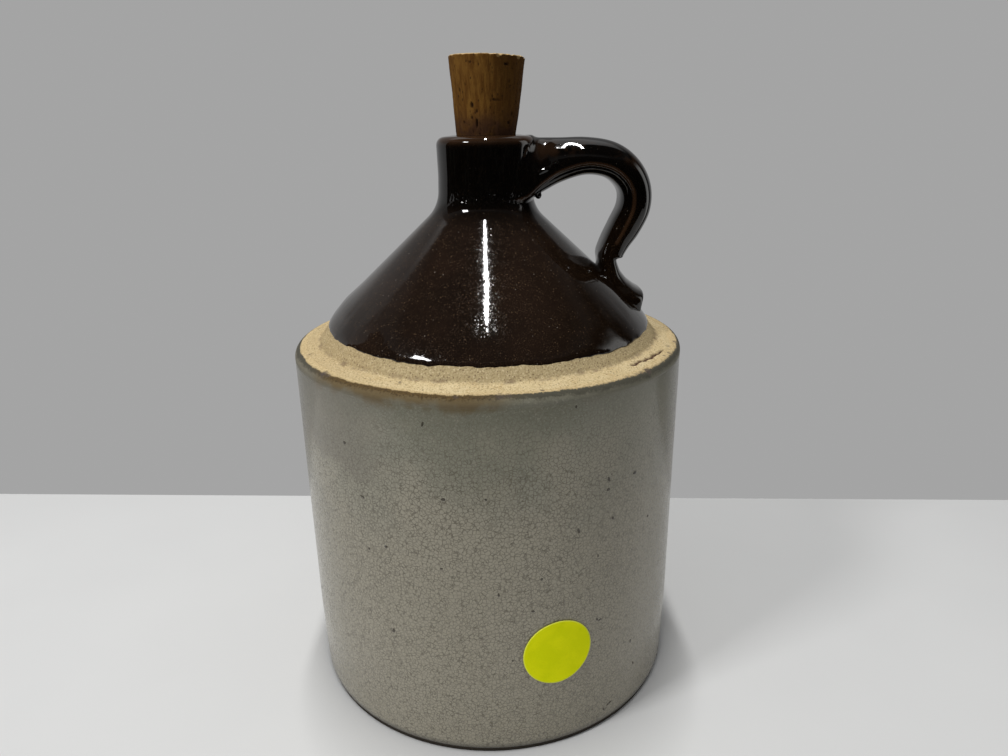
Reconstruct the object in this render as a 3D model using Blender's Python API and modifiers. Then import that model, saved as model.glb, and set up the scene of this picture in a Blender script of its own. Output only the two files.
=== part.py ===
"""Stoneware shoulder jug with an applied strap handle and a tapered cork stopper.

Metres, +Z up. The origin is the centre of the foot, on the surface the jug stands on.
The handle is on the +X side. Turned outlines are lists of corners in millimetres:
(radius, height, rounding of that corner).
"""
import math

import bmesh
import bpy
from mathutils import Vector

MM = 0.001
GAP = 0.3  # clearance between neighbouring pieces, in millimetres like every size below
TURN_STEPS = 60
ARC_POINTS = 5

# Lower body: a jiggered cylinder with its floor and its turned-in shoulder ledge
WALL_RADIUS = 93.5
WALL_THICKNESS = 9.5
FLOOR_TOP = 11.0
FLOOR_ROUNDING = 14.0
SHOULDER_HEIGHT = 171.8
SHOULDER_ROUNDING = 4.0
SEAT_HEIGHT = 174.4
SEAT_INNER_RADIUS = 72.0
SEAT_ROUNDING = 2.0
LEDGE_THICKNESS = 9.0
LEDGE_DROP = 2.0
LEDGE_ROUNDING = 7.0
FOOT_RADIUS = 91.4
FOOT_CHAMFER = (1.2, 3.0)
FOOT_TAPER_TOP = 40.0
FOOT_RECESS_RADIUS = 74.0
FOOT_RECESS_SLOPE = 2.0
FOOT_RECESS_DEPTH = 1.4

# Upper body: a cone drawn up into a short neck with a rolled lip
TOP_THICKNESS = 9.0
SKIRT_RADIUS = 81.1
SKIRT_INNER_RADIUS = 72.2
CONE_FOOT = (73.2, 187.0)
CONE_FOOT_ROUNDING = 45.0
INNER_CONE_RADIUS = 69.7
NECK_RADIUS = 22.2
NECK_FOOT_HEIGHT = 234.2
NECK_FILLET = 16.0
NECK_WAIST_HEIGHT = 248.0
NECK_WAIST_ROUNDING = 60.0
LIP_RADIUS = 23.1
LIP_EDGE_HEIGHT = 264.8
LIP_ROUNDING = 3.6
MOUTH_RADIUS = 13.8
MOUTH_HEIGHT = 266.0
MOUTH_ROUNDING = 1.6
BORE_RADIUS = 13.2
BORE_FOOT_ROUNDING = 10.0

# The weight of the wet handle drew the neck over: sideways shift per height above the cone
LEAN = 0.031
LEAN_START = 230.0

# Cork stopper, measured from the mouth along its own axis
CORK_TOP = 32.6
CORK_BOTTOM = -13.6
CORK_MOUTH_RADIUS = 13.6
CORK_TAPER = 0.1
CORK_TOP_ROUNDING = 0.8
CORK_BOTTOM_ROUNDING = 1.5

# Price dot on the front of the wall, turned from +X towards -Y
DOT_RADIUS = 15.9
DOT_HEIGHT = 52.1
DOT_ANGLE = math.radians(-72.9)
DOT_THICKNESS = 0.25
DOT_FACETS = 48
PAPER_STEPS = 180
PAPER_MARGIN = 2.0

# Handle strap from the neck to the cone, along the ridge line of its sides: x, z, turn of its
# outer side from straight up towards +X in degrees, half width, dome over the ridge, arch
# under it, squareness of the dome
STRAP = [
    (9.0, 238.4, 0.0, 16.6, 25.9, 2.2, 2.9),
    (18.0, 238.6, 0.0, 16.5, 25.7, 2.2, 2.9),
    (26.0, 244.6, 0.0, 14.9, 19.7, 4.6, 2.7),
    (35.0, 249.8, 0.0, 12.9, 14.4, 5.4, 2.4),
    (46.0, 252.7, 4.0, 12.0, 11.6, 5.2, 2.2),
    (56.0, 251.3, 25.0, 12.0, 11.4, 5.0, 2.2),
    (63.0, 247.0, 50.0, 12.0, 11.0, 5.0, 2.2),
    (67.3, 240.5, 80.0, 12.0, 10.4, 5.1, 2.2),
    (67.6, 232.6, 103.0, 12.0, 10.0, 5.5, 2.2),
    (64.2, 224.0, 115.0, 12.0, 9.2, 5.9, 2.2),
    (59.6, 216.0, 116.0, 12.2, 8.2, 5.3, 2.2),
    (56.2, 208.5, 108.0, 12.8, 7.2, 3.4, 2.3),
    (55.4, 200.0, 95.0, 13.2, 6.4, 3.2, 2.3),
    (55.4, 192.0, 90.0, 13.2, 6.0, 3.0, 2.3),
]
# Pressed tail of the handle, by radius on the cone: radius, half width, height above the cone
TAIL = [
    (55.0, 11.0, 5.2),
    (60.0, 14.8, 6.2),
    (66.0, 16.4, 6.2),
    (70.0, 16.2, 6.4),
    (72.8, 15.0, 5.8),
]
TAIL_SUNK = 3.0
TAIL_UNDERSIDE = 2.0
TAIL_SQUARENESS = 3.2
DOME_POINTS = 13
ARCH_POINTS = 7
POINTS_PER_STATION = 3


def clear_scene():
    for item in list(bpy.data.objects):
        bpy.data.objects.remove(item, do_unlink=True)


def new_collection(name):
    group = bpy.data.collections.new(name)
    bpy.context.scene.collection.children.link(group)
    return group


def new_material(name, colour, roughness):
    material = bpy.data.materials.new(name)
    material.use_nodes = True
    shader = material.node_tree.nodes["Principled BSDF"]
    shader.inputs["Base Color"].default_value = (*colour, 1.0)
    shader.inputs["Roughness"].default_value = roughness
    shader.inputs["Metallic"].default_value = 0.0
    return material


def add_part(name, mesh, group, material=None):
    part = bpy.data.objects.new(name, mesh)
    group.objects.link(part)
    if material:
        mesh.materials.append(material)
    return part


def make_cutter(part):
    part.hide_render = True
    part.display_type = "WIRE"


def rounded_outline(corners):
    """Points along the corners, with an arc tangent to both sides at each rounded one."""
    points = []
    last = len(corners) - 1
    for index, (x, z, radius) in enumerate(corners):
        here = Vector((x, z))
        if radius == 0.0:
            points.append(here)
            continue
        before = (Vector(corners[index - 1][:2]) - here).normalized()
        after = (Vector(corners[0 if index == last else index + 1][:2]) - here).normalized()
        half_angle = before.angle(after) / 2.0
        reach = radius / math.tan(half_angle)
        bisector = (before + after).normalized()
        centre = here + bisector * (radius / math.sin(half_angle))
        first = here + before * reach - centre
        second = here + after * reach - centre
        sweep = first.angle_signed(second)
        for step in range(ARC_POINTS):
            turn = -sweep * step / (ARC_POINTS - 1)
            cosine, sine = math.cos(turn), math.sin(turn)
            spoke = Vector((first.x * cosine - first.y * sine, first.x * sine + first.y * cosine))
            points.append(centre + spoke)
    return points


def turned(name, corners, group, material=None, closed=False, steps=TURN_STEPS):
    """A solid of revolution about Z. The outline runs down its outer side."""
    points = rounded_outline(corners)
    count = len(points)
    edges = [(i, i + 1) for i in range(count - 1)]
    if closed:
        edges.append((count - 1, 0))
    mesh = bpy.data.meshes.new(name)
    mesh.from_pydata([(p.x * MM, 0.0, p.y * MM) for p in points], edges, [])
    part = add_part(name, mesh, group, material)
    screw = part.modifiers.new("turn", "SCREW")
    screw.steps = steps
    screw.render_steps = steps
    screw.use_merge_vertices = True
    screw.merge_threshold = 0.00001
    screw.use_smooth_shade = True
    return part


def leaned(part):
    """The same piece as a plain mesh, its neck drawn over towards the handle."""
    depsgraph = bpy.context.evaluated_depsgraph_get()
    mesh = bpy.data.meshes.new_from_object(part.evaluated_get(depsgraph))
    part.modifiers.clear()
    part.data = mesh
    for vertex in mesh.vertices:
        vertex.co.x += LEAN * max(0.0, vertex.co.z - LEAN_START * MM)
    return part


def cut(part, cutter, operation="DIFFERENCE"):
    boolean = part.modifiers.new(cutter.name, "BOOLEAN")
    boolean.object = cutter
    boolean.operation = operation
    boolean.solver = "EXACT"


def jug_base(group, material):
    inner_radius = WALL_RADIUS - WALL_THICKNESS
    ledge_under = SEAT_HEIGHT - LEDGE_THICKNESS
    corners = [
        (0.0, FLOOR_TOP, 0.0),
        (inner_radius, FLOOR_TOP, FLOOR_ROUNDING),
        (inner_radius, ledge_under - LEDGE_DROP, LEDGE_ROUNDING),
        (SEAT_INNER_RADIUS, ledge_under, SEAT_ROUNDING),
        (SEAT_INNER_RADIUS, SEAT_HEIGHT, SEAT_ROUNDING),
        (SKIRT_RADIUS, SEAT_HEIGHT, 0.0),
        (WALL_RADIUS, SHOULDER_HEIGHT, SHOULDER_ROUNDING),
        (WALL_RADIUS, FOOT_TAPER_TOP, 0.0),
        (FOOT_RADIUS + FOOT_CHAMFER[0], FOOT_CHAMFER[1], 0.0),
        (FOOT_RADIUS, 0.0, 0.0),
        (FOOT_RECESS_RADIUS, 0.0, 0.0),
        (FOOT_RECESS_RADIUS - FOOT_RECESS_SLOPE, FOOT_RECESS_DEPTH, 0.0),
        (0.0, FOOT_RECESS_DEPTH, 0.0),
    ]
    return turned("jug_base", corners, group, material)


def cone_slope():
    """Unit vectors down the cone and out of it, as (radius, height)."""
    down = Vector((CONE_FOOT[0] - NECK_RADIUS, CONE_FOOT[1] - NECK_FOOT_HEIGHT)).normalized()
    return down, Vector((-down.y, down.x))


def top_outside(grow=0.0):
    """Outer corners of the upper body, from the lip down to the foot of its skirt."""
    return [
        (LIP_RADIUS + grow, LIP_EDGE_HEIGHT + grow, LIP_ROUNDING + grow),
        (NECK_RADIUS + grow, NECK_WAIST_HEIGHT, NECK_WAIST_ROUNDING),
        (NECK_RADIUS + grow, NECK_FOOT_HEIGHT + grow, NECK_FILLET - grow),
        (CONE_FOOT[0] + grow, CONE_FOOT[1] + grow, CONE_FOOT_ROUNDING),
        (SKIRT_RADIUS + grow, SEAT_HEIGHT + GAP, 0.0),
    ]


def on_cone(radius, depth=0.0):
    """The point of the cone's side line at a radius, moved in by a depth under its surface."""
    down, out = cone_slope()
    start = Vector(CONE_FOOT) - out * depth
    return start + down * ((radius - start.x) / down.x)


def jug_top(group, material):
    inner_foot = on_cone(INNER_CONE_RADIUS, TOP_THICKNESS)
    inner_neck = on_cone(BORE_RADIUS, TOP_THICKNESS)
    corners = [
        (MOUTH_RADIUS, MOUTH_HEIGHT, MOUTH_ROUNDING),
        *top_outside(),
        (SKIRT_INNER_RADIUS, SEAT_HEIGHT + GAP, 0.0),
        (*inner_foot, 0.0),
        (*inner_neck, BORE_FOOT_ROUNDING),
    ]
    return leaned(turned("jug_top", corners, group, material, closed=True))


def top_envelope(group):
    """Solid upper body grown by the gap, which the handle's ends are cut to."""
    corners = [
        (0.0, MOUTH_HEIGHT + GAP, 0.0),
        *top_outside(GAP),
        (0.0, SEAT_HEIGHT + GAP, 0.0),
    ]
    envelope = leaned(turned("top_envelope", corners, group))
    make_cutter(envelope)
    return envelope


def smooth_stations(stations):
    """Catmull-Rom points through the stations."""
    padded = [stations[0], *stations, stations[-1]]
    result = []
    for index in range(1, len(padded) - 2):
        a, b, c, d = (Vector(padded[index + k]) for k in (-1, 0, 1, 2))
        for step in range(POINTS_PER_STATION):
            t = step / POINTS_PER_STATION
            bend = 2.0 * a - 5.0 * b + 4.0 * c - d
            twist = 3.0 * (b - c) + d - a
            result.append(b + 0.5 * t * ((c - a) + t * (bend + t * twist)))
    result.append(Vector(stations[-1]))
    return result


def strap_section(half_width, dome, arch, squareness):
    """Domed outside over a shallow arch, meeting in a ridge on each side: (across, outwards)."""
    power = 2.0 / squareness
    section = []
    for step in range(DOME_POINTS):
        turn = math.pi * step / (DOME_POINTS - 1)
        cosine, sine = math.cos(turn), math.sin(turn)
        across = half_width * math.copysign(abs(cosine) ** power, cosine)
        section.append((across, dome * abs(sine) ** power))
    for step in range(1, ARCH_POINTS):
        side = 2.0 * step / ARCH_POINTS - 1.0
        section.append((half_width * side, -arch * (1.0 - side * side)))
    return section


def lofted(name, stations, group, material=None):
    """Skin of strap sections that follow the stations in the XZ plane."""
    form = bmesh.new()
    rings = []
    for x, z, turn, half_width, dome, arch, squareness in smooth_stations(stations):
        sine, cosine = math.sin(math.radians(turn)), math.cos(math.radians(turn))
        ring = []
        for across, out in strap_section(half_width, dome, arch, squareness):
            place = Vector((x + out * sine, across, z + out * cosine))
            ring.append(form.verts.new(place * MM))
        rings.append(ring)
    for near, far in zip(rings, rings[1:]):
        for index in range(len(near)):
            after = (index + 1) % len(near)
            form.faces.new((near[index], near[after], far[after], far[index]))
    form.faces.new(rings[0])
    form.faces.new(rings[-1])
    bmesh.ops.recalc_face_normals(form, faces=form.faces)
    mesh = bpy.data.meshes.new(name)
    form.to_mesh(mesh)
    form.free()
    mesh.shade_smooth()
    mesh.set_sharp_from_angle(angle=math.radians(40.0))
    return add_part(name, mesh, group, material)


def tail_stations():
    """The tail's base line, sunk in the cone, out of which it rises by its height."""
    out = cone_slope()[1]
    turn = math.degrees(math.atan2(out.x, out.y))
    stations = []
    for radius, half_width, height in TAIL:
        base = on_cone(radius) - out * TAIL_SUNK
        rise = height + TAIL_SUNK
        stations.append((*base, turn, half_width, rise, TAIL_UNDERSIDE, TAIL_SQUARENESS))
    return stations


def handle(group, cutters, material):
    strap = lofted("handle", STRAP, group, material)
    tail = lofted("handle_tail", tail_stations(), cutters)
    make_cutter(tail)
    cut(strap, tail, "UNION")
    cut(strap, top_envelope(cutters))
    return strap


def cork_radius(height):
    return CORK_MOUTH_RADIUS + CORK_TAPER * height


def cork_stopper(group, material):
    """Tapered cork whose origin is the centre of the mouth, on the axis it slides along."""
    corners = [
        (0.0, CORK_TOP, 0.0),
        (cork_radius(CORK_TOP), CORK_TOP, CORK_TOP_ROUNDING),
        (cork_radius(CORK_BOTTOM), CORK_BOTTOM, CORK_BOTTOM_ROUNDING),
        (0.0, CORK_BOTTOM, 0.0),
    ]
    cork = turned("cork_stopper", corners, group, material)
    cork.location = (LEAN * (MOUTH_HEIGHT - LEAN_START) * MM, 0.0, MOUTH_HEIGHT * MM)
    cork.rotation_euler = (0.0, math.atan(LEAN), 0.0)
    return cork


def price_dot(group, cutters, material):
    """A disc of paper bent round the wall: a thin shell of the wall's curve, punched round."""
    inner = WALL_RADIUS + GAP
    outer = inner + DOT_THICKNESS
    high = DOT_HEIGHT + DOT_RADIUS + PAPER_MARGIN
    low = DOT_HEIGHT - DOT_RADIUS - PAPER_MARGIN
    corners = [(outer, high, 0.0), (outer, low, 0.0), (inner, low, 0.0), (inner, high, 0.0)]
    dot = turned("price_dot", corners, group, material, closed=True, steps=PAPER_STEPS)
    form = bmesh.new()
    bmesh.ops.create_cone(
        form,
        cap_ends=True,
        segments=DOT_FACETS,
        radius1=DOT_RADIUS * MM,
        radius2=DOT_RADIUS * MM,
        depth=WALL_RADIUS * MM,
    )
    mesh = bpy.data.meshes.new("dot_punch")
    form.to_mesh(mesh)
    form.free()
    punch = add_part("dot_punch", mesh, cutters)
    reach = WALL_RADIUS * MM
    punch.location = (reach * math.cos(DOT_ANGLE), reach * math.sin(DOT_ANGLE), DOT_HEIGHT * MM)
    punch.rotation_euler = (0.0, math.pi / 2.0, DOT_ANGLE)
    make_cutter(punch)
    cut(dot, punch, "INTERSECT")
    return dot


def main():
    clear_scene()
    parts = new_collection("stoneware_jug")
    cutters = new_collection("cutters")
    grey_glaze = new_material("grey_glaze", (0.24, 0.225, 0.18), 0.28)
    brown_glaze = new_material("brown_glaze", (0.018, 0.010, 0.006), 0.12)
    handle_glaze = new_material("handle_glaze", (0.014, 0.008, 0.005), 0.12)
    cork = new_material("cork", (0.19, 0.095, 0.030), 0.85)
    yellow_paper = new_material("yellow_paper", (0.62, 0.66, 0.01), 0.6)
    jug_base(parts, grey_glaze)
    jug_top(parts, brown_glaze)
    handle(parts, cutters, handle_glaze)
    cork_stopper(parts, cork)
    price_dot(parts, cutters, yellow_paper)


main()
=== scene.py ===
"""Finished looks of a stoneware shoulder jug with a strap handle and a cork stopper.

Sizes are in millimetres until a mesh is made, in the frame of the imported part:
+Z up from the centre of the foot, +X towards the handle, -Y towards the front.
Only the places of the camera, lamps and stage are in metres.
"""
import functools
import itertools
import math

import bpy
import numpy as np
from mathutils import Matrix, Vector


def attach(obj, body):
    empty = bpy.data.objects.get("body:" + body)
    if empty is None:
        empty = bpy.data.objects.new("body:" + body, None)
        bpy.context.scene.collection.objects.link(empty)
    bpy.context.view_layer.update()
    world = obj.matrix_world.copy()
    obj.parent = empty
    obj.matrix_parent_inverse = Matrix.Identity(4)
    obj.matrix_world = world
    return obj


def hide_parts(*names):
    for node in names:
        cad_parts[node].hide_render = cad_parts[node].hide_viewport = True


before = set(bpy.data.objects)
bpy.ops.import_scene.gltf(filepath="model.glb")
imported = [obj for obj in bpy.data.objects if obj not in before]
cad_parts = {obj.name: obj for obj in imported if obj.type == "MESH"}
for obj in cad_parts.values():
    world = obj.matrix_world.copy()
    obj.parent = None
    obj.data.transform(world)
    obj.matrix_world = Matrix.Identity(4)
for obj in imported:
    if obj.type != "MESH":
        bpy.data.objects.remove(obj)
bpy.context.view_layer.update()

MM = 0.001

# Lower body
WALL_RADIUS = 93.5
INNER_RADIUS = 84.0
FLOOR_TOP = 11.0
FLOOR_ROUNDING = 14.0
SEAT_HEIGHT = 174.4
SEAT_INNER_RADIUS = 72.0
SEAT_THICKNESS = 9.0
SEAT_FALL = 2.0
SEAT_ROUNDING = 2.0
CEILING_ROUNDING = 7.0
SHOULDER_HEIGHT = 171.8
SHOULDER_ROUNDING = 4.0
SHOULDER_DEPTH = 6.0
FOOT_TAPER_TOP = 40.0
FOOT_TAPER_ROUNDING = 400.0
FOOT_TAPER = 0.024
FOOT_CHAMFER_TOP = (92.6, 3.0)
FOOT_RADIUS = 91.4
FOOT_RECESS_RADIUS = 74.0
FOOT_RECESS_SLOPE = 2.0
FOOT_RECESS_DEPTH = 1.4
GREY_LINE_RADIUS = 87.9
LEDGE_SINK = 0.22
# Grey coat: its thickness, how deep its underside lies, how it thins out at the shoulder and the foot
GREY_COAT = 0.45
GREY_UNDER = 0.25
GREY_RUN = 3.5
GREY_FEATHER = 0.7
GREY_WIPED = (1.4, 3.2)
GREY_FOOT = 1.6

# Upper body
SKIRT_RADIUS = 81.1
SKIRT_INNER_RADIUS = 72.2
SKIRT_TUCK = 3.0
CONE_FOOT = (73.2, 187.0)
CONE_FOOT_ROUNDING = 45.0
CONE_BREAK = 20.0
NECK_RADIUS = 22.2
NECK_FOOT_HEIGHT = 234.2
NECK_FILLET = 16.0
NECK_WAIST_HEIGHT = 248.0
NECK_WAIST_ROUNDING = 60.0
LIP_RADIUS = 23.1
LIP_EDGE_HEIGHT = 264.8
LIP_ROUNDING = 3.6
MOUTH_RADIUS = 13.8
MOUTH_HEIGHT = 266.0
MOUTH_ROUNDING = 1.6
BORE_RADIUS = 13.2
BORE_FOOT_HEIGHT = 232.0
LEAN = 0.031
LEAN_START = 230.0
SKIRT_SINK = 0.08
# Brown coat: its thickness, its lower edge, the raised bead along that edge and the bead's round end
BROWN_COAT = 0.5
BROWN_UNDER = 0.25
BROWN_LINE_RADIUS = 78.2
BEAD_RISE, BEAD_SPAN = 0.36, (9.0, 2.0)
BEAD_DROP, BEAD_END = 0.75, 1.2
LIP_THIN = (260.8, 264.2)
# Inner side of the cone, from its skirt up to the bore: radius and height
CONE_INSIDE = [(67.1, 180.4), (40.0, 205.5), (16.5, 227.2), (13.9, 231.0)]

# Cork, measured from the mouth along its own axis
CORK_TOP = 32.6
CORK_BOTTOM = -13.6
CORK_MOUTH_RADIUS = 13.6
CORK_TAPER = 0.1
CORK_SPARE = 0.25
CORK_FLARE = 0.45
CORK_RIM_ROUNDING = 0.9
CORK_FOOT_ROUNDING = 1.4

# Paper dot
DOT_RADIUS = 15.9
DOT_HEIGHT = 52.1
DOT_ANGLE = math.radians(-72.9)
DOT_THICKNESS = 0.22
DOT_GAP = 0.06
DOT_RINGS = 26
DOT_STEPS = 120

# Handle from the neck to its pressed tail on the cone: x, z of its ridge, turn of its outer side
# in degrees, half width, dome outside the ridge, belly inside it, squareness of the dome
STRAP = [
    (9.0, 238.4, 0.0, 17.2, 25.9, 2.2, 2.9),
    (18.0, 238.6, 0.0, 16.9, 25.7, 2.2, 2.9),
    (26.0, 244.6, 0.0, 13.8, 19.7, 4.6, 1.95),
    (35.0, 249.8, 0.0, 12.2, 14.4, 5.4, 1.98),
    (46.0, 252.7, 4.0, 13.3, 11.6, 5.2, 2.0),
    (56.0, 251.3, 25.0, 13.8, 11.4, 5.0, 2.0),
    (63.0, 247.0, 50.0, 13.2, 11.0, 5.0, 2.05),
    (67.3, 240.5, 80.0, 12.5, 10.4, 5.1, 2.1),
    (67.6, 232.6, 103.0, 12.1, 10.0, 5.5, 2.2),
    (64.2, 224.0, 115.0, 12.0, 9.2, 5.9, 2.2),
    (60.6, 217.4, 112.0, 12.2, 8.2, 5.4, 2.3),
    (58.2, 212.4, 103.0, 12.5, 7.6, 4.9, 2.6),
    (57.7, 210.9, 98.0, 12.7, 7.6, 4.7, 2.8),
    (57.5, 209.6, 95.0, 12.9, 4.8, 4.5, 2.5),
    (57.8, 206.6, 90.0, 13.4, 4.8, 4.2, 2.6),
    (58.7, 200.9, 64.0, 15.0, 5.9, 3.6, 2.4),
    (61.9, 195.6, 47.0, 16.8, 6.5, 3.0, 2.3),
    (65.0, 192.6, 42.0, 17.8, 6.6, 3.0, 2.3),
    (67.6, 190.4, 40.0, 17.8, 6.8, 3.0, 2.4),
    (70.0, 188.3, 36.0, 17.0, 7.3, 3.0, 2.6),
    (72.0, 186.2, 22.0, 15.4, 7.8, 2.6, 3.0),
]
# How many of those stations run from the neck to the fold, where the glaze ran thin on the ridges
STRAP_RIDGED = 11
STRAP_STEPS = 8
DOME_POINTS, BELLY_POINTS = 57, 41
BELLY_POWER, RIDGE_STEP = 0.7, 0.5
# Flare of the strap where it comes near the jug: how thick, and from how far off
STRAP_FLARE, STRAP_FLARE_REACH = 0.8, 2.2
STRAP_SINK = 0.9
STRAP_GRID = 0.42
# Seam where the strap's root was worked onto the neck, along its front and back
ROOT_SEAM = [(20.8, 11.6, 263.5), (18.7, 14.3, 259.4), (17.6, 15.5, 256.6)]
# Rounded collar beside that seam, and a wrinkle pressed up under it
ROOT_COLLAR = [(29.0, 5.5, 262.3), (28.0, 8.2, 260.2), (27.0, 10.5, 257.5), (26.0, 12.0, 254.5)]
ROOT_WRINKLE = [(24.3, 13.85, 249.5), (28.0, 12.65, 250.9), (32.0, 11.9, 252.8)]
# Their heights and half widths
SEAM_RISE, SEAM_WIDTH = 0.4, 0.5
COLLAR_RISE, COLLAR_WIDTH = 0.42, 2.0
WRINKLE_RISE, WRINKLE_WIDTH = 1.0, 0.8
RIDGE_OVERHANG = 0.8
# Burr of clay left under the strap's root: place and half sizes
ROOT_BURR = ((24.2, -11.5, 239.6), (1.5, 1.2, 1.9))

# Nicks and specks on the grey wall: angle and height on the wall, width, height, tilt in degrees
WALL_NICKS = [
    (-125.6, 123.0, 1.5, 0.35, -12), (-102.0, 129.0, 1.1, 0.7, 0), (-91.5, 129.5, 0.6, 0.6, 0),
    (-106.3, 160.8, 0.5, 1.3, -20), (-130.7, 145.6, 0.9, 0.7, 0), (-58.5, 130.2, 0.7, 1.4, 20),
    (-58.6, 125.4, 1.0, 0.8, 0), (-67.5, 110.1, 0.6, 1.5, 15), (-56.6, 110.9, 0.6, 0.9, 0),
    (-48.8, 128.2, 1.3, 0.8, 0), (-118.9, 102.3, 0.9, 0.7, 0), (-124.7, 98.4, 0.6, 0.6, 0),
    (-103.3, 96.7, 0.9, 0.4, 10), (-118.5, 60.1, 0.8, 1.1, 0), (-88.8, 84.9, 0.6, 0.9, 10),
    (-61.3, 95.1, 0.5, 0.8, 0), (-77.6, 90.5, 0.6, 0.7, 0), (-79.9, 75.3, 0.8, 0.6, 0),
    (-60.9, 62.4, 0.5, 1.0, 35), (-60.0, 61.7, 1.0, 0.45, 20), (-47.0, 39.6, 0.6, 1.0, 0),
    (-44.7, 24.5, 0.4, 1.3, 15), (-55.0, 10.6, 2.2, 0.3, 20), (-57.0, 8.8, 0.5, 1.3, 25),
    (-85.4, 51.2, 0.5, 0.7, 0), (-41.3, 102.0, 0.6, 0.6, 0), (-68.9, 165.6, 0.5, 0.8, 0),
    (12.0, 118.0, 0.8, 0.6, 0), (36.0, 60.0, 1.6, 0.4, 25), (61.0, 141.0, 0.6, 0.9, 0),
    (84.0, 96.0, 0.9, 0.7, 0), (108.0, 34.0, 0.5, 1.2, -15), (131.0, 127.0, 1.4, 0.4, 10),
    (152.0, 72.0, 0.7, 0.8, 0), (176.0, 109.0, 0.6, 0.6, 0), (-159.0, 50.0, 1.0, 0.5, 20),
]
NICK_SINK, NICK_DEPTH, NICK_SHARE = 0.22, 0.30, 0.85
# Where the grey shows from under the bare clay: angle and radius
GREY_EDGE = [
    (-180, 90.7), (-148, 90.3), (-128, 89.7), (-116, 89.4), (-102, 90.1), (-87, 89.9), (-72, 90.8),
    (-58, 91.4), (-38, 91.7), (0, 91.2), (60, 90.9), (120, 91.2), (180, 90.7),
]
# Pits pressed in the ledge: angle, radius, size, depth, darkness
LEDGE_PITS = [
    (-139.9, 90.6, 2.3, 0.9, 1.0), (-137.6, 90.9, 1.3, 0.5, 0.7), (-87.5, 90.6, 2.2, 0.5, 0.55),
    (-85.3, 90.9, 1.4, 0.4, 0.6), (-43.6, 91.5, 2.0, 0.8, 1.0), (-46.2, 91.3, 1.2, 0.4, 0.7),
    (-48.3, 91.2, 1.0, 0.4, 0.5), (-76.7, 88.9, 1.0, 0.5, 0.9), (-158.0, 87.5, 1.6, 0.4, 0.45),
    (-115.0, 84.2, 1.0, 0.4, 0.7), (-98.0, 91.0, 1.1, 0.4, 0.6), (-21.0, 88.4, 1.0, 0.4, 0.6),
    (24.0, 90.4, 1.8, 0.6, 0.8), (57.0, 87.0, 1.2, 0.4, 0.7), (92.0, 91.2, 1.6, 0.6, 0.8),
    (-30.2, 89.6, 1.0, 0.4, 0.8), (-26.8, 90.4, 1.3, 0.4, 0.7), (-23.6, 89.4, 0.9, 0.3, 0.6),
    (-14.5, 90.6, 1.5, 0.5, 0.8), (-63.5, 82.6, 0.8, 0.4, 0.8), (-52.0, 90.9, 0.8, 0.3, 0.7),
    (121.0, 85.4, 1.0, 0.4, 0.6), (149.0, 90.8, 2.0, 0.6, 0.8), (171.0, 88.1, 1.1, 0.4, 0.6),
]
# Jagged crack along the ledge: angle and radius of its turns
LEDGE_CRACK = [
    (-45.2, 85.3), (-43.4, 85.9), (-42.6, 85.1), (-40.4, 85.0), (-39.0, 86.1), (-37.0, 85.6),
    (-35.2, 86.6), (-33.4, 86.0), (-31.0, 86.3), (-29.6, 87.3), (-27.4, 87.0), (-25.6, 87.9),
]
CRACK_DEPTH = 0.7
# Grains of grog on the lower and on the upper clay: how many on each, and the range of their half sizes
GRAINS, GRAIN_SIZES = 1500, (0.10, 0.26)
# Pores of the cork in view: angle and height from the mouth, width, height, depth
CORK_PORES = [
    (-115.2, 12.0, 1.5, 2.2, 0.9), (-106.5, 9.4, 0.9, 1.4, 0.5), (-107.1, 4.4, 0.9, 4.2, 0.8),
    (-60.3, 28.6, 2.4, 1.0, 0.8), (-16.3, 18.6, 1.4, 1.5, 0.7), (-38.9, 8.8, 1.4, 1.6, 0.7),
    (-75.0, 14.2, 5.2, 0.5, 0.5), (-80.0, 15.6, 0.5, 1.6, 0.4), (-134.2, 4.8, 1.2, 1.1, 0.6),
    (-116.3, 6.8, 0.8, 1.7, 0.6), (-115.6, 29.0, 1.2, 0.8, 0.5), (-45.0, 5.0, 1.6, 1.4, 0.7),
    (-30.0, 14.0, 1.0, 1.8, 0.6), (-52.0, 22.0, 0.7, 1.5, 0.4), (-140.0, 18.0, 0.8, 1.6, 0.5),
]
# More of their kind round the rest, and small ones all over: how many, and the range of each number
MORE_PORES = [
    (42, (-5.0, 215.0), (-11.0, 31.0), (0.6, 1.6), (0.7, 2.6), (0.3, 0.9)),
    (150, (-180.0, 180.0), (-12.0, 32.0), (0.35, 0.7), (0.5, 1.3), (0.15, 0.35)),
]

# Camera fitted to the photograph: its frame and focal length in pixels, turns in degrees
PHOTO_WIDTH = 1008.0
CAMERA_FOCUS = 724.73
CAMERA_PLACE = (0.0, -0.348984, 0.267845)
CAMERA_PITCH = 18.9127
CAMERA_ROLL = -0.87956
CAMERA_YAW = 1.24232
# Lamps: place, aim, width, depth, power
LAMPS = {
    "strip_lamp": ((-0.02, -0.017, 1.85), (-0.02, -0.017, 0.0), 0.062, 0.774, 16.0),
    "left_lamp": ((-0.94, -0.66, 1.16), (0.0, 0.0, 0.2), 0.28, 0.28, 9.2),
}
FILL_COLOUR, FILL_STRENGTH = (0.98, 0.99, 1.0, 1.0), 0.30
FLOOR_HALF, FLOOR_FRONT, FLOOR_BACK, FLOOR_ASKEW = 1.6, -0.345, 0.150, math.radians(-3.8)
SCREEN_REACH, SCREEN_LOW, SCREEN_HIGH = 1.0, -1.2, 1.0
SCREEN_TURNS = range(-104, 81, 8)


# Helpers for outlines and points

def unit(vector):
    return vector / np.linalg.norm(vector)


def eased(value, low, high):
    """0 at low, 1 at high, smooth between them."""
    share = np.clip((value - low) / (high - low), 0.0, 1.0)
    return share * share * (3.0 - 2.0 * share)


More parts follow.
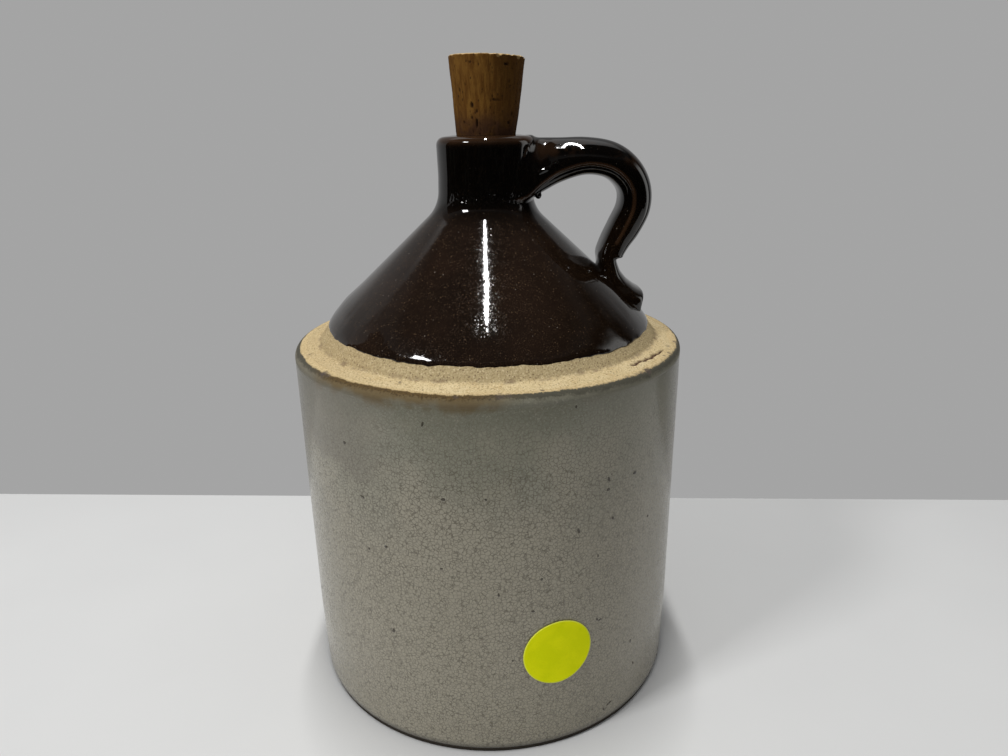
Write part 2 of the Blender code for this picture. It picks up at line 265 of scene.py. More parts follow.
def polar(radius, turn, height=0.0):
    """Places at a radius, a turn in radians and a height."""
    x, y, z = np.broadcast_arrays(radius * np.cos(turn), radius * np.sin(turn), height)
    return np.stack((x, y, z), axis=-1)


def from_axis(points):
    return np.hypot(points[:, 0], points[:, 1])


def filled(points, step):
    """The same line with points no further apart than a step."""
    result = [points[0]]
    for near, far in zip(points, points[1:]):
        count = max(1, math.ceil(np.linalg.norm(far - near) / step))
        result.extend(near + (far - near) * (k + 1) / count for k in range(count))
    return np.array(result)


def outline(corners, step):
    """Line along corners (radius, height, rounding), eased round each rounded one."""
    points = []
    last = len(corners) - 1
    for index, (radius, height, rounding) in enumerate(corners):
        here = np.array((radius, height))
        if rounding == 0.0 or index in (0, last):
            points.append(here)
            continue
        before = unit(np.array(corners[index - 1][:2]) - here)
        after = unit(np.array(corners[index + 1][:2]) - here)
        half_angle = math.acos(before @ after) / 2.0
        centre = here + unit(before + after) * rounding / math.sin(half_angle)
        first = here + before * rounding / math.tan(half_angle) - centre
        second = here + after * rounding / math.tan(half_angle) - centre
        start = math.atan2(first[1], first[0])
        sweep = (math.atan2(second[1], second[0]) - start + math.pi) % math.tau - math.pi
        count = max(5, math.ceil(abs(sweep) * rounding / step))
        turns = start + sweep * np.arange(count + 1) / count
        points.extend(centre + rounding * polar(1.0, turns)[:, :2])
    return filled(points, step)


def joined(*lines):
    """Several lines as one, without the points that two of them share."""
    points = np.concatenate(lines)
    keep = np.ones(len(points), bool)
    keep[1:] = np.linalg.norm(np.diff(points, axis=0), axis=1) > 1e-4
    return points[keep]


def line_length(points):
    steps = np.linalg.norm(np.diff(points, axis=0), axis=1)
    return np.concatenate([[0.0], np.cumsum(steps)])


def sunk(points, depth):
    """A line that runs down the outer side, moved in under its surface by a depth."""
    along = np.gradient(points, axis=0)
    along /= np.linalg.norm(along, axis=1)[:, None]
    out = np.stack((-along[:, 1], along[:, 0]), axis=1)
    return points - out * np.reshape(depth, (-1, 1))


def pressed(points, normals, depth):
    """Points moved in against their outward directions, each by its own depth."""
    return points - normals * depth[:, None]


def rumple(points, size, seed):
    """Smooth noise from -1 to 1 with lumps of a size, one value for each point."""
    cell = points / size
    corner = np.floor(cell).astype(np.int64)
    share = cell - corner
    share = share ** 3 * (share * (share * 6.0 - 15.0) + 10.0)
    total = np.zeros(len(points))
    # Each corner's place and the seed are scrambled with large odd numbers into its value
    for step in itertools.product((0, 1), repeat=3):
        x, y, z = (corner + step).T
        mixed = (x * 73856093) ^ (y * 19349663) ^ (z * 83492791) ^ (seed * 2654435761)
        mixed = ((mixed ^ (mixed >> 13)) * 1274126177) & 0x7FFFFFFF
        mixed = ((mixed ^ (mixed >> 16)) * 668265263) & 0x7FFFFFFF
        value = mixed / 0x3FFFFFFF - 1.0
        weight = np.abs(1 - np.array(step) - share)
        total += value * (weight[:, 0] * weight[:, 1]) * weight[:, 2]
    return total


def rumples(points, *layers):
    """Layers of noise on each other, each (height, size of its lumps, seed)."""
    return sum(height * rumple(points, size, seed) for height, size, seed in layers)


def gaps_to(points, line):
    """For each span of a line: its way, and the shortest way from it to each point."""
    for near, far in zip(line, line[1:]):
        way = far - near
        share = np.clip((points - near) @ way / (way @ way), 0.0, 1.0)
        yield way, points - near - share[:, None] * way


def from_line(points, line):
    """Distance of each point from a line."""
    return np.min([np.linalg.norm(gap, axis=1) for way, gap in gaps_to(points, line)], axis=0)


def lean_at(height):
    """The neck is drawn over towards the handle, by so much at a height."""
    return LEAN * np.maximum(0.0, height - LEAN_START)


def leaned(points):
    moved = points.copy()
    moved[:, 0] += lean_at(points[:, 2])
    return moved


# Helpers for meshes and pieces

def of_vertices(mesh, word):
    flat = np.empty(len(mesh.vertices) * 3, np.float32)
    mesh.vertices.foreach_get(word, flat)
    return flat.reshape(-1, 3).astype(float)


def places(mesh):
    """Vertex positions in millimetres."""
    return of_vertices(mesh, "co") / MM


def outward(mesh):
    return of_vertices(mesh, "normal")


def put_places(mesh, points):
    mesh.vertices.foreach_set("co", (points * MM).astype(np.float32).ravel())
    mesh.update()


def triangles(mesh):
    """The three corners of every triangle, as three lists of points."""
    mesh.calc_loop_triangles()
    corners = np.empty(len(mesh.loop_triangles) * 3, np.int32)
    mesh.loop_triangles.foreach_get("vertices", corners)
    return places(mesh)[corners.reshape(-1, 3)].transpose(1, 0, 2)


def face_outwards(mesh):
    """Turns the faces round if the volume that they enclose comes out negative."""
    a, b, c = triangles(mesh)
    if np.einsum("ij,ij->i", a, np.cross(b, c)).sum() < 0.0:
        mesh.flip_normals()


def mark(mesh, name, values):
    """A number on each vertex that a finish reads."""
    attribute = mesh.attributes.new(name, "FLOAT", "POINT")
    attribute.data.foreach_set("value", np.asarray(values, np.float32))


def shaped(name, points, edges=(), faces=()):
    mesh = bpy.data.meshes.new(name)
    mesh.from_pydata((np.asarray(points) * MM).tolist(), edges, faces)
    return mesh


def linked(name, data):
    made = bpy.data.objects.new(name, data)
    bpy.context.scene.collection.objects.link(made)
    return made


def covered(mesh, finish):
    mesh.materials.clear()
    mesh.materials.append(finish)
    mesh.shade_smooth()


def made_plain(piece):
    """The evaluated shape becomes the piece's own mesh, with no modifier left."""
    depsgraph = bpy.context.evaluated_depsgraph_get()
    mesh = bpy.data.meshes.new_from_object(piece.evaluated_get(depsgraph))
    piece.modifiers.clear()
    spare = piece.data
    piece.data = mesh
    bpy.data.meshes.remove(spare)
    mesh.name = piece.name


def set_on_jug(piece, body, slot, *nodes):
    """The piece rides on its body and stands for the nodes; the slot is not used."""
    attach(piece, body)
    if nodes:
        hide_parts(*nodes)


def settled(piece, points, *body_slot_nodes, **marks):
    """Puts the piece's points in place, marks them for its finish and sets it on the jug."""
    put_places(piece.data, points)
    for name, values in marks.items():
        mark(piece.data, name, values)
    set_on_jug(piece, *body_slot_nodes)


# Node trees

class Nodes:
    """A node tree, with short words for the nodes that are added to it."""

    def __init__(self, tree):
        self.tree = tree

    def add(self, kind, sockets=None, **settings):
        """A node with its settings, and its inputs set or linked by name or place."""
        made = self.tree.nodes.new(kind)
        for name, value in settings.items():
            setattr(made, name, value)
        for key, value in (sockets or {}).items():
            if isinstance(key, int):
                socket = made.inputs[key]
            else:
                socket = next(s for s in made.inputs if s.name == key and s.enabled)
            if isinstance(value, bpy.types.NodeSocket):
                self.tree.links.new(value, socket)
            else:
                socket.default_value = value
        return made

    def out(self, kind, sockets=None, **settings):
        """The first output of a new node."""
        return self.add(kind, sockets, **settings).outputs[0]

    def maths(self, operation, *values, clamp=False):
        sockets = dict(enumerate(values))
        return self.out("ShaderNodeMath", sockets, operation=operation, use_clamp=clamp)

    def chained(self, operation, values):
        return functools.reduce(lambda one, other: self.maths(operation, one, other), values)

    def times(self, *values):
        return self.chained("MULTIPLY", values)

    def plus(self, *values):
        return self.chained("ADD", values)

    def less(self, *values):
        return self.chained("SUBTRACT", values)

    def most(self, *values):
        return self.chained("MAXIMUM", values)

    def vector(self, operation, *values):
        return self.out("ShaderNodeVectorMath", dict(enumerate(values)), operation=operation)

    def scaled(self, vector, scale):
        return self.out("ShaderNodeVectorMath", {0: vector, "Scale": scale}, operation="SCALE")

    def parts(self, vector):
        return self.add("ShaderNodeSeparateXYZ", {0: vector}).outputs

    def point(self, x, y, z):
        return self.out("ShaderNodeCombineXYZ", {0: x, 1: y, 2: z})

    def ramp(self, value, low, high, start=0.0, end=1.0):
        """Runs smoothly from start to end as the value goes from low to high."""
        return self.out("ShaderNodeMapRange", {
            "Value": value, "From Min": low, "From Max": high, "To Min": start, "To Max": end,
        }, interpolation_type="SMOOTHSTEP")

    def mixed(self, share, first, second):
        colours = [c if isinstance(c, bpy.types.NodeSocket) else (*c, 1.0) for c in (first, second)]
        sockets = {0: share, 6: colours[0], 7: colours[1]}
        return self.add("ShaderNodeMix", sockets, data_type="RGBA").outputs[2]

    def seeded_noise(self, vector, size, seed, detail):
        """Noise in lumps of a size, picked by a seed: its value and its colour."""
        return self.add("ShaderNodeTexNoise", {
            "Vector": vector, "W": seed, "Scale": self.maths("DIVIDE", 1.0, size), "Detail": detail,
        }, noise_dimensions="4D").outputs


class Finish(Nodes):
    """A material and the nodes that its colour, gloss and relief are made of."""

    def __init__(self, name, roughness, specular):
        self.material = bpy.data.materials.new(name)
        self.material.use_nodes = True
        super().__init__(self.material.node_tree)
        self.shader = self.tree.nodes["Principled BSDF"]
        self.shader.inputs["Roughness"].default_value = roughness
        self.shader.inputs["Specular IOR Level"].default_value = specular
        self.place = self.add("ShaderNodeTexCoord").outputs["Object"]
        self.colour = None

    def along(self, axis):
        """The place along X, Y or Z."""
        return self.parts(self.place)[axis]

    def stretched(self, x, y, z):
        return self.out("ShaderNodeMapping", {"Vector": self.place, "Scale": (x, y, z)})

    def from_axis(self):
        """Distance from the jug's axis."""
        flat = self.stretched(1.0, 1.0, 0.0)
        return self.add("ShaderNodeVectorMath", {0: flat}, operation="LENGTH").outputs["Value"]

    def noise(self, size, detail=2.0, rough=0.5, vector=None):
        """Noise with lumps of a size."""
        return self.out("ShaderNodeTexNoise", {
            "Vector": vector or self.place, "Scale": 1.0 / (size * MM), "Detail": detail, "Roughness": rough,
        })

    def cells(self, size, feature="F1", vector=None):
        return self.add("ShaderNodeTexVoronoi", {
            "Vector": vector or self.place, "Scale": 1.0 / (size * MM),
        }, feature=feature)

    def spots(self, cells, edge, chance, channel=0):
        """Round spots in some of the cells, by the ranges of their soft edge and of their chance."""
        return self.times(
            self.ramp(cells.outputs["Distance"], *edge),
            self.ramp(self.parts(cells.outputs["Color"])[channel], *chance),
        )

    def shaken(self, size, reach):
        """The place, shifted by noise of a size by up to a reach."""
        push = self.add("ShaderNodeTexNoise", {
            "Vector": self.place, "Scale": 1.0 / (size * MM), "Detail": 2.0,
        }).outputs["Color"]
        centred = self.vector("SUBTRACT", push, (0.5, 0.5, 0.5))
        return self.vector("ADD", self.place, self.scaled(centred, reach * 2.0 * MM))

    def span(self, place, low, high, start=0.0, end=1.0):
        """A ramp over a place, from low to high in millimetres."""
        return self.ramp(place, low * MM, high * MM, start, end)

    def astray(self, noise, low, high, reach):
        """A way off to either side by up to half a reach, as noise goes from low to high."""
        return self.times(self.ramp(noise, low, high, -0.5, 0.5), reach * MM)

    def mark(self, name):
        return self.add("ShaderNodeAttribute", attribute_name=name).outputs["Fac"]

    def base(self, share, first, second):
        self.colour = self.mixed(share, first, second)

    def lay(self, colour, *shares):
        """Lays a colour over what is there, by the product of its shares."""
        self.colour = self.mixed(self.times(*shares), self.colour, colour)

    def use(self, roughness=None, relief=None, depth=0.1):
        """Sends the colour, gloss and relief (its depth in millimetres) to the surface."""
        self.tree.links.new(self.colour, self.shader.inputs["Base Color"])
        if roughness is not None:
            self.tree.links.new(roughness, self.shader.inputs["Roughness"])
        if relief is not None:
            bump = self.out("ShaderNodeBump", {
                "Strength": 1.0, "Distance": depth * MM, "Height": relief,
            })
            self.tree.links.new(bump, self.shader.inputs["Normal"])
        return self.material


# Finishes, each from its ground colour up, with colours in linear light

def bare_clay():
    clay = Finish("bare_clay", 0.9, 0.2)
    radius = clay.from_axis()
    grain = clay.noise(0.7, 3.0, 0.65)
    patch = clay.noise(16.0, 3.0, 0.6)
    mottle = clay.noise(3.2, 3.0, 0.6)
    clay.base(clay.ramp(patch, 0.35, 0.65), (0.59, 0.463, 0.252), (0.66, 0.53, 0.305))
    clay.lay((0.48, 0.33, 0.15), clay.ramp(mottle, 0.52, 0.75, 0.0, 0.5))
    # The skirt is darker than the ledge, partly from dirt and partly as painted shade, and the left side is
    # soiled by handling
    ragged = clay.plus(radius, clay.astray(mottle, 0.2, 0.8, 1.0))
    skirt = clay.span(ragged, SKIRT_RADIUS + 1.3, SKIRT_RADIUS - 0.3)
    clay.lay((0.44, 0.347, 0.19), skirt, 0.9)
    handled = clay.span(clay.along(0), -25.0, -65.0)
    clay.lay((0.40, 0.29, 0.145), handled, clay.ramp(patch, 0.3, 0.6, 0.4, 1.0), 0.5)
    # Light and dark grains, dots, dirt in the crease, rust towards the glaze, specks
    clay.lay((0.80, 0.67, 0.43), clay.ramp(grain, 0.46, 0.34, 0.0, 0.6))
    clay.lay((0.25, 0.17, 0.08), clay.ramp(grain, 0.54, 0.66, 0.0, 0.7))
    dots = clay.spots(clay.cells(1.25), (0.34, 0.16), (0.30, 0.5))
    clay.lay((0.17, 0.115, 0.06), dots, clay.ramp(skirt, 0.0, 1.0, 0.6, 0.85))
    crease = clay.times(
        clay.span(radius, SKIRT_RADIUS - 1.1, SKIRT_RADIUS + 0.1),
        clay.span(radius, SKIRT_RADIUS + 2.1, SKIRT_RADIUS + 0.7),
    )
    dirt = clay.ramp(clay.noise(7.0, 3.0, 0.6), 0.45, 0.68)
    clay.lay((0.20, 0.14, 0.085), crease, dirt, 0.7)
    fringe = clay.plus(radius, clay.astray(mottle, 0.25, 0.75, 1.8))
    clay.lay((0.30, 0.21, 0.095), clay.span(fringe, 89.8, 91.8), 0.4)
    clay.lay((0.10, 0.055, 0.03), clay.spots(clay.cells(5.0), (0.10, 0.05), (0.5, 0.55)), 0.85)
    # Grog, pits, the crack, and the foot darkened by dirt and by painted contact shadow
    tone = clay.mark("grain")
    clay.lay((0.84, 0.71, 0.49), clay.ramp(tone, 0.1, 1.0, 0.0, 0.7))
    clay.lay((0.20, 0.125, 0.06), clay.ramp(tone, -0.1, -1.0, 0.0, 0.85))
    clay.lay((0.075, 0.055, 0.045), clay.mark("pit"), 0.9)
    clay.lay((0.06, 0.022, 0.014), clay.mark("crack"))
    # Painted contact shadow with dirt: darker over the lowest few millimetres of the foot
    clay.lay((0.035, 0.028, 0.02), clay.span(clay.along(2), 4.5, 2.5))
    relief = clay.plus(clay.times(grain, 0.8), clay.times(mottle, 0.8))
    return clay.use(relief=relief, depth=0.4)


def grey_glaze():
    glaze = Finish("grey_glaze", 0.2, 0.5)
    height = glaze.along(2)
    cloud = glaze.noise(42.0, 3.0, 0.55)
    patch = glaze.noise(11.0, 3.0, 0.6)
    fine = glaze.noise(0.9, 3.0, 0.65)
    # Warm grey below, cooler and darker above, with painted shade under the shoulder, clouded and speckled
    lift = glaze.astray(cloud, 0.2, 0.8, 50.0)
    upper = glaze.span(glaze.plus(height, lift), 105.0, 160.0)
    glaze.base(glaze.times(upper, 0.85), (0.336, 0.308, 0.235), (0.228, 0.229, 0.176))
    # Painted shade under the shoulder: the top of the wall darkened
    glaze.lay((0.115, 0.115, 0.080), glaze.span(height, 150.0, 171.0, 0.0, 0.5))
    glaze.lay((0.38, 0.345, 0.27), glaze.ramp(cloud, 0.5, 0.75, 0.0, 0.35))
    glaze.lay((0.24, 0.225, 0.175), glaze.ramp(patch, 0.55, 0.8, 0.0, 0.16))
    glaze.lay((0.47, 0.44, 0.36), glaze.ramp(fine, 0.52, 0.72, 0.0, 0.5))
    glaze.lay((0.19, 0.175, 0.13), glaze.ramp(fine, 0.48, 0.30, 0.0, 0.5))
    # Crazing: a fine net of hair cracks that have taken up dirt, and a few longer ones over it
    shaken = glaze.shaken(1.3, 0.5)
    small, large = (
        glaze.cells(size, "DISTANCE_TO_EDGE", shaken).outputs["Distance"] for size in (1.65, 6.0)
    )
    net = glaze.most(
        glaze.times(glaze.ramp(small, 0.125, 0.012), glaze.ramp(glaze.noise(3.0), 0.36, 0.58, 0.55, 1.0)),
        glaze.times(glaze.ramp(large, 0.045, 0.008), glaze.ramp(cloud, 0.4, 0.6, 0.1, 0.5)),
    )
    crazed = glaze.times(net, glaze.span(height, 172.0, 130.0, 0.35, 1.0))
    glaze.lay((0.095, 0.080, 0.055), crazed, 0.78)
    # Painted reflection of the dark room as a darker patch at the upper left, painted shade on the right
    # side, ochre bloom under the bare shoulder, strongest at the front's left
    x, y = glaze.parts(glaze.place)[:2]
    front_left = glaze.times(
        glaze.span(x, 25.0, -15.0), glaze.span(x, -82.0, -62.0), glaze.span(y, -20.0, -60.0),
    )
    # Painted reflection: a darker brownish patch at the upper left of the wall
    painted_reflection_band = glaze.span(glaze.plus(height, glaze.times(lift, 0.4)), 129.0, 138.0)
    glaze.lay((0.165, 0.140, 0.110), glaze.span(x, -30.0, -66.0), painted_reflection_band, 0.42)
    # Painted shade: the right side, away from the left lamp, darkened a little
    glaze.lay((0.20, 0.178, 0.125), glaze.span(x, 15.0, 60.0, 0.0, 0.2))
    ragged = glaze.plus(height, glaze.astray(patch, 0.2, 0.8, 6.0))
    bloom = glaze.times(glaze.span(ragged, 165.5, 171.5), glaze.ramp(front_left, 0.0, 1.0, 0.12, 1.0))
    glaze.lay((0.135, 0.092, 0.036), bloom, 0.9)
    # Dark rim of the coat, bare clay past it and the pits
    flecked = glaze.ramp(fine, 0.42, 0.62)
    ochre = glaze.mixed(flecked, (0.092, 0.052, 0.010), (0.046, 0.025, 0.005))
    rim = glaze.plus(glaze.mark("rim"), glaze.ramp(fine, 0.3, 0.7, -0.25, 0.25))
    edge = glaze.mixed(front_left, (0.050, 0.046, 0.031), ochre)
    glaze.lay(edge, glaze.ramp(rim, 0.05, 0.75), 0.88)
    clay = glaze.mixed(flecked, (0.62, 0.48, 0.26), (0.42, 0.31, 0.15))
    bare = glaze.plus(glaze.mark("bare"), glaze.ramp(fine, 0.3, 0.7, -0.3, 0.3))
    glaze.lay(clay, glaze.ramp(bare, 0.32, 0.78))
    glaze.lay((0.075, 0.055, 0.045), glaze.mark("pit"), 0.9)
    # Iron specks, nicks, and grime with painted contact shadow above the foot
    speck = glaze.spots(glaze.cells(9.0), (0.055, 0.03), (0.45, 0.5))
    glaze.lay((0.045, 0.036, 0.026), glaze.most(glaze.times(speck, 0.6), glaze.mark("nick")))
    # Painted contact shadow with grime: darker over the lowest few millimetres
    glaze.lay((0.045, 0.037, 0.025), glaze.span(height, 6.0, 2.0), 0.9)
    roughness = glaze.ramp(glaze.plus(fine, glaze.times(crazed, 0.4)), 0.3, 1.1, 0.13, 0.32)
    roughness = glaze.most(roughness, glaze.span(height, 166.0, 170.5, 0.0, 0.95))
    relief = glaze.plus(glaze.times(net, -0.5), glaze.times(patch, 2.2))
    return glaze.use(roughness, relief, 0.06)


def brown_glaze():
    glaze = Finish("brown_glaze", 0.07, 0.5)
    height = glaze.along(2)
    cloud = glaze.noise(30.0, 3.0, 0.6)
    peel = glaze.noise(3.4)
    fine = glaze.noise(0.38, 2.0, 0.6)
    # Brown on the cone, with painted shade darkening it towards the handle, and darker where the glaze lies
    # heavy high up on neck and strap
    glaze.base(glaze.ramp(cloud, 0.35, 0.7), (0.0090, 0.0053, 0.0037), (0.0154, 0.0086, 0.0056))
    # Painted shade: darker towards the handle, away from the left lamp
    handle_side_shade = glaze.span(glaze.along(0), 12.0, 60.0)
    glaze.lay((0.0042, 0.0019, 0.0005), handle_side_shade, 0.95)
    upright = glaze.span(height, 222.0, 240.0)
    glaze.lay((0.0010, 0.0007, 0.0005), upright, 0.96)
    # Fine grain, streaks drawn down the neck, rust where the glaze ran thin, crystals and dust
    calm = glaze.times(glaze.ramp(upright, 0.0, 1.0, 1.0, 0.16), glaze.ramp(peel, 0.38, 0.64, 0.35, 1.0))
    grainy = glaze.times(glaze.ramp(fine, 0.52, 0.70), calm)
    glaze.lay((0.080, 0.049, 0.027), grainy, glaze.ramp(handle_side_shade, 0.0, 1.0, 0.5, 0.25))
    drawn = glaze.noise(0.9, vector=glaze.stretched(1.0, 1.0, 0.06))
    on_neck = glaze.span(glaze.from_axis(), 30.0, 27.0)
    glaze.lay((0.0055, 0.0050, 0.0040), upright, on_neck, glaze.ramp(drawn, 0.5, 0.72, 0.0, 0.5))
    glaze.lay((0.052, 0.025, 0.012), glaze.mark("thin"), glaze.ramp(cloud, 0.3, 0.7, 0.4, 0.8))
    bubbles = glaze.cells(1.15)
    crystal = glaze.times(glaze.spots(bubbles, (0.34, 0.10), (0.3, 1.0), 1), calm)
    glaze.lay((0.120, 0.074, 0.040), crystal, glaze.ramp(handle_side_shade, 0.0, 1.0, 0.65, 0.25))
    dust = glaze.spots(glaze.cells(2.6), (0.11, 0.05), (0.35, 0.95), 1)
    glaze.lay((0.38, 0.33, 0.28), dust, calm, 0.6)
    roughness = glaze.ramp(grainy, 0.0, 1.0, 0.045, 0.20)
    # Orange peel, broad waves, dimples of burst bubbles and finger ripples round the neck's foot
    dimple = glaze.times(glaze.spots(bubbles, (0.34, 0.0), (0.55, 0.85)), calm)
    neck_foot = glaze.times(
        glaze.span(height, 234.5, 237.5), glaze.span(height, 244.0, 240.5), on_neck,
        glaze.span(glaze.along(1), -15.0, -18.0),
    )
    relief = glaze.plus(
        glaze.times(peel, glaze.ramp(upright, 0.0, 1.0, 0.5, 0.12)), glaze.times(cloud, 2.0),
        glaze.times(dimple, -0.55), glaze.times(neck_foot, glaze.noise(1.5, 1.0), 11.0),
    )
    return glaze.use(roughness, relief, 0.06)


def cork_bark():
    cork = Finish("cork", 0.9, 0.08)
    grain = cork.noise(2.2, 4.0, 0.6, cork.stretched(1.0, 1.0, 0.16))
    hair = cork.noise(0.7, 3.0, 0.65, cork.stretched(1.0, 1.0, 0.22))
    patch = cork.noise(9.0, 3.0, 0.55)
    cork.base(cork.ramp(grain, 0.36, 0.64), (0.172, 0.082, 0.016), (0.100, 0.041, 0.0070))
    cork.lay((0.075, 0.030, 0.006), cork.ramp(hair, 0.52, 0.72, 0.0, 0.6))
    cork.lay((0.095, 0.038, 0.007), cork.ramp(patch, 0.55, 0.75, 0.0, 0.45))
    # Painted shade darkening it towards the handle, pale where it is cut, stained just above the mouth, with
    # pores
    cork.lay((0.050, 0.021, 0.004), cork.span(cork.along(0), -3.0, 12.0), 0.75)
    cork.lay((0.60, 0.42, 0.19), cork.mark("cut"))
    stain = cork.span(cork.along(2), 279.0, 268.0)
    cork.lay((0.05, 0.022, 0.012), stain, cork.ramp(patch, 0.4, 0.6, 0.35, 0.9))
    pores = cork.cells(1.7, vector=cork.stretched(1.0, 1.0, 0.6))
    cork.lay((0.026, 0.011, 0.004), cork.spots(pores, (0.26, 0.14), (0.62, 0.72)), 0.75)
    cork.lay((0.022, 0.009, 0.004), cork.mark("pit"))
    relief = cork.plus(cork.times(hair, 0.7), cork.times(grain, 0.9))
    return cork.use(relief=relief, depth=0.3)


def yellow_paper():
    paper = Finish("yellow_paper", 0.75, 0.05)
    fibre = paper.noise(0.9, 4.0, 0.65)
    paper.base(paper.ramp(paper.noise(8.0), 0.35, 0.65), (0.80, 0.86, 0.003), (0.87, 0.91, 0.005))
    paper.lay((0.68, 0.73, 0.004), paper.ramp(fibre, 0.52, 0.75, 0.0, 0.35))
    paper.lay((0.86, 0.87, 0.30), paper.mark("edge"), 0.35)
    return paper.use(relief=fibre, depth=0.04)


# Pieces made by trees: turned forms, and small bits set on points

def new_tree(name, result, **inputs):
    """An empty tree for a modifier, with named inputs (_ stands for a space) and one result."""
    tree = bpy.data.node_groups.new(name, "GeometryNodeTree")
    tree.is_modifier = True
    for word, kind in inputs.items():
        kind = "NodeSocket" + kind
        tree.interface.new_socket(name=word.replace("_", " "), in_out="INPUT", socket_type=kind)
    tree.interface.new_socket(name=result, in_out="OUTPUT", socket_type="NodeSocketGeometry")
    return Nodes(tree)


def turned_form():
    """Turns an outline, a chain of points at (radius, 0, height), about Z."""
    form = new_tree(
        "turned_form", "Form", Outline="Geometry", Turn_Steps="Int", Outline_Points="Int",
        Wobble="Float", Wobble_Size="Float", Turning_Lines="Float", Line_Spacing="Float",
        Seed="Float", Finish="Material",
    )
    given = form.add("NodeGroupInput").outputs
    place = form.out("GeometryNodeInputPosition")
    shape = form.out("GeometryNodeMeshGrid", {
        "Size X": 1.0, "Size Y": 1.0, "Vertices X": form.plus(given["Turn Steps"], 1.0),
        "Vertices Y": given["Outline Points"],
    })
    across, along = (form.plus(side, 0.5) for side in form.parts(place)[:2])
    turn = form.times(across, math.tau)
    index = form.maths("ROUND", form.times(along, form.less(given["Outline Points"], 1.0)))
    sampled = form.add("GeometryNodeSampleIndex", {
        "Geometry": given["Outline"], "Value": place, "Index": index,
    }, data_type="FLOAT_VECTOR", domain="POINT")
    radius, _, height = form.parts(next(s for s in sampled.outputs if s.enabled))
    cosine, sine = form.maths("COSINE", turn), form.maths("SINE", turn)
    spot = form.point(form.times(radius, cosine), form.times(radius, sine), height)
    lumps = form.seeded_noise(spot, given["Wobble Size"], given["Seed"], 1.0)[0]
    level = form.point(0.0, 0.0, height)
    rings = form.seeded_noise(level, given["Line Spacing"], given["Seed"], 2.0)[0]
    depth = form.plus(form.times(lumps, given["Wobble"]), form.times(rings, given["Turning Lines"]))
    # The wobble dies out within 20 mm of the axis
    away = form.maths("DIVIDE", radius, 20.0 * MM, clamp=True)
    radius = form.less(radius, form.times(depth, away))
    settled = form.point(form.times(radius, cosine), form.times(radius, sine), height)
    shape = form.out("GeometryNodeSetPosition", {"Geometry": shape, "Position": settled})
    shape = form.out("GeometryNodeMergeByDistance", {"Geometry": shape, "Distance": 0.002 * MM})
    shape = form.out("GeometryNodeRealizeInstances", {"Geometry": shape})
    shape = form.out("GeometryNodeSetMaterial", {"Geometry": shape, "Material": given["Finish"]})
    form.add("NodeGroupOutput", {0: shape})
    return form.tree


def set_bits():
    """Small rounded bits on points, each sized and turned by its point's own numbers."""
    form = new_tree(
        "set_bits", "Bits", Points="Geometry", Roundness="Int", Unevenness="Float",
        Lump_Size="Float", Seed="Float", Finish="Material",
    )
    given = form.add("NodeGroupInput").outputs
    bit = form.out("GeometryNodeMeshIcoSphere", {"Radius": 1.0, "Subdivisions": given["Roundness"]})
    span, turn = (
        form.add("GeometryNodeInputNamedAttribute", {"Name": name}, data_type="FLOAT_VECTOR")
        .outputs["Attribute"] for name in ("span", "turn")
    )
    shape = form.out("GeometryNodeInstanceOnPoints", {
        "Points": given["Points"], "Instance": bit, "Rotation": turn, "Scale": span,
    })
    shape = form.out("GeometryNodeRealizeInstances", {"Geometry": shape})
    place = form.out("GeometryNodeInputPosition")
    lumps = form.seeded_noise(place, given["Lump Size"], given["Seed"], 1.0)["Color"]
    centred = form.vector("SUBTRACT", lumps, (0.5, 0.5, 0.5))
    push = form.scaled(centred, given["Unevenness"])
    shape = form.out("GeometryNodeSetPosition", {"Geometry": shape, "Offset": push})
    shape = form.out("GeometryNodeSetMaterial", {"Geometry": shape, "Material": given["Finish"]})
    form.add("NodeGroupOutput", {0: shape})
    return form.tree


TURNED_FORM = turned_form()
SET_BITS = set_bits()


def grown(name, mesh, tree, **inputs):
    """The piece that a tree makes from a mesh, as a plain mesh; its inputs are set by identifier."""
    piece = linked(name, mesh)
    modifier = piece.modifiers.new(tree.name, "NODES")
    modifier.node_group = tree
    wanted = {word.replace("_", " "): value for word, value in inputs.items()}
    for item in tree.interface.items_tree:
        if item.item_type == "SOCKET" and item.in_out == "INPUT" and item.name in wanted:
            modifier[item.identifier] = wanted.pop(item.name)
    assert not wanted, wanted
    made_plain(piece)
    piece.data.shade_smooth()
    return piece


def turned(name, points, finish, steps, closed=False, wobble=0.0, wobble_size=60.0,
           lines=0.0, spacing=6.0, seed=1.0):
    """A turned piece from its outline, which runs down the outer side."""
    if closed:
        points = np.concatenate([points, points[:1]])
    chain = [(i, i + 1) for i in range(len(points) - 1)]
    mesh = shaped(name, [(radius, 0.0, height) for radius, height in points], chain)
    piece = grown(
        name, mesh, TURNED_FORM, Turn_Steps=steps, Outline_Points=len(points), Wobble=wobble * MM,
        Wobble_Size=wobble_size * MM, Turning_Lines=lines * MM, Line_Spacing=spacing * MM,
        Seed=seed, Finish=finish,
    )
    face_outwards(piece.data)
    return piece


def bits(name, points, spans, turns, finish, roundness, unevenness, lump_size, seed, **tones):
    """Bits at points, with a number for the finish on each bit."""
    mesh = shaped(name, points)
    for key, values in (("span", spans * MM), ("turn", turns)):
        attribute = mesh.attributes.new(key, "FLOAT_VECTOR", "POINT")
        attribute.data.foreach_set("vector", values.astype(np.float32).ravel())
    for key, values in tones.items():
        mark(mesh, key, values)
    piece = grown(
        name, mesh, SET_BITS, Roundness=roundness, Unevenness=unevenness * MM,
        Lump_Size=lump_size * MM, Seed=seed, Finish=finish,
    )
    for key in ("span", "turn"):
        if key in piece.data.attributes:
            piece.data.attributes.remove(piece.data.attributes[key])
    return piece


# Lower body

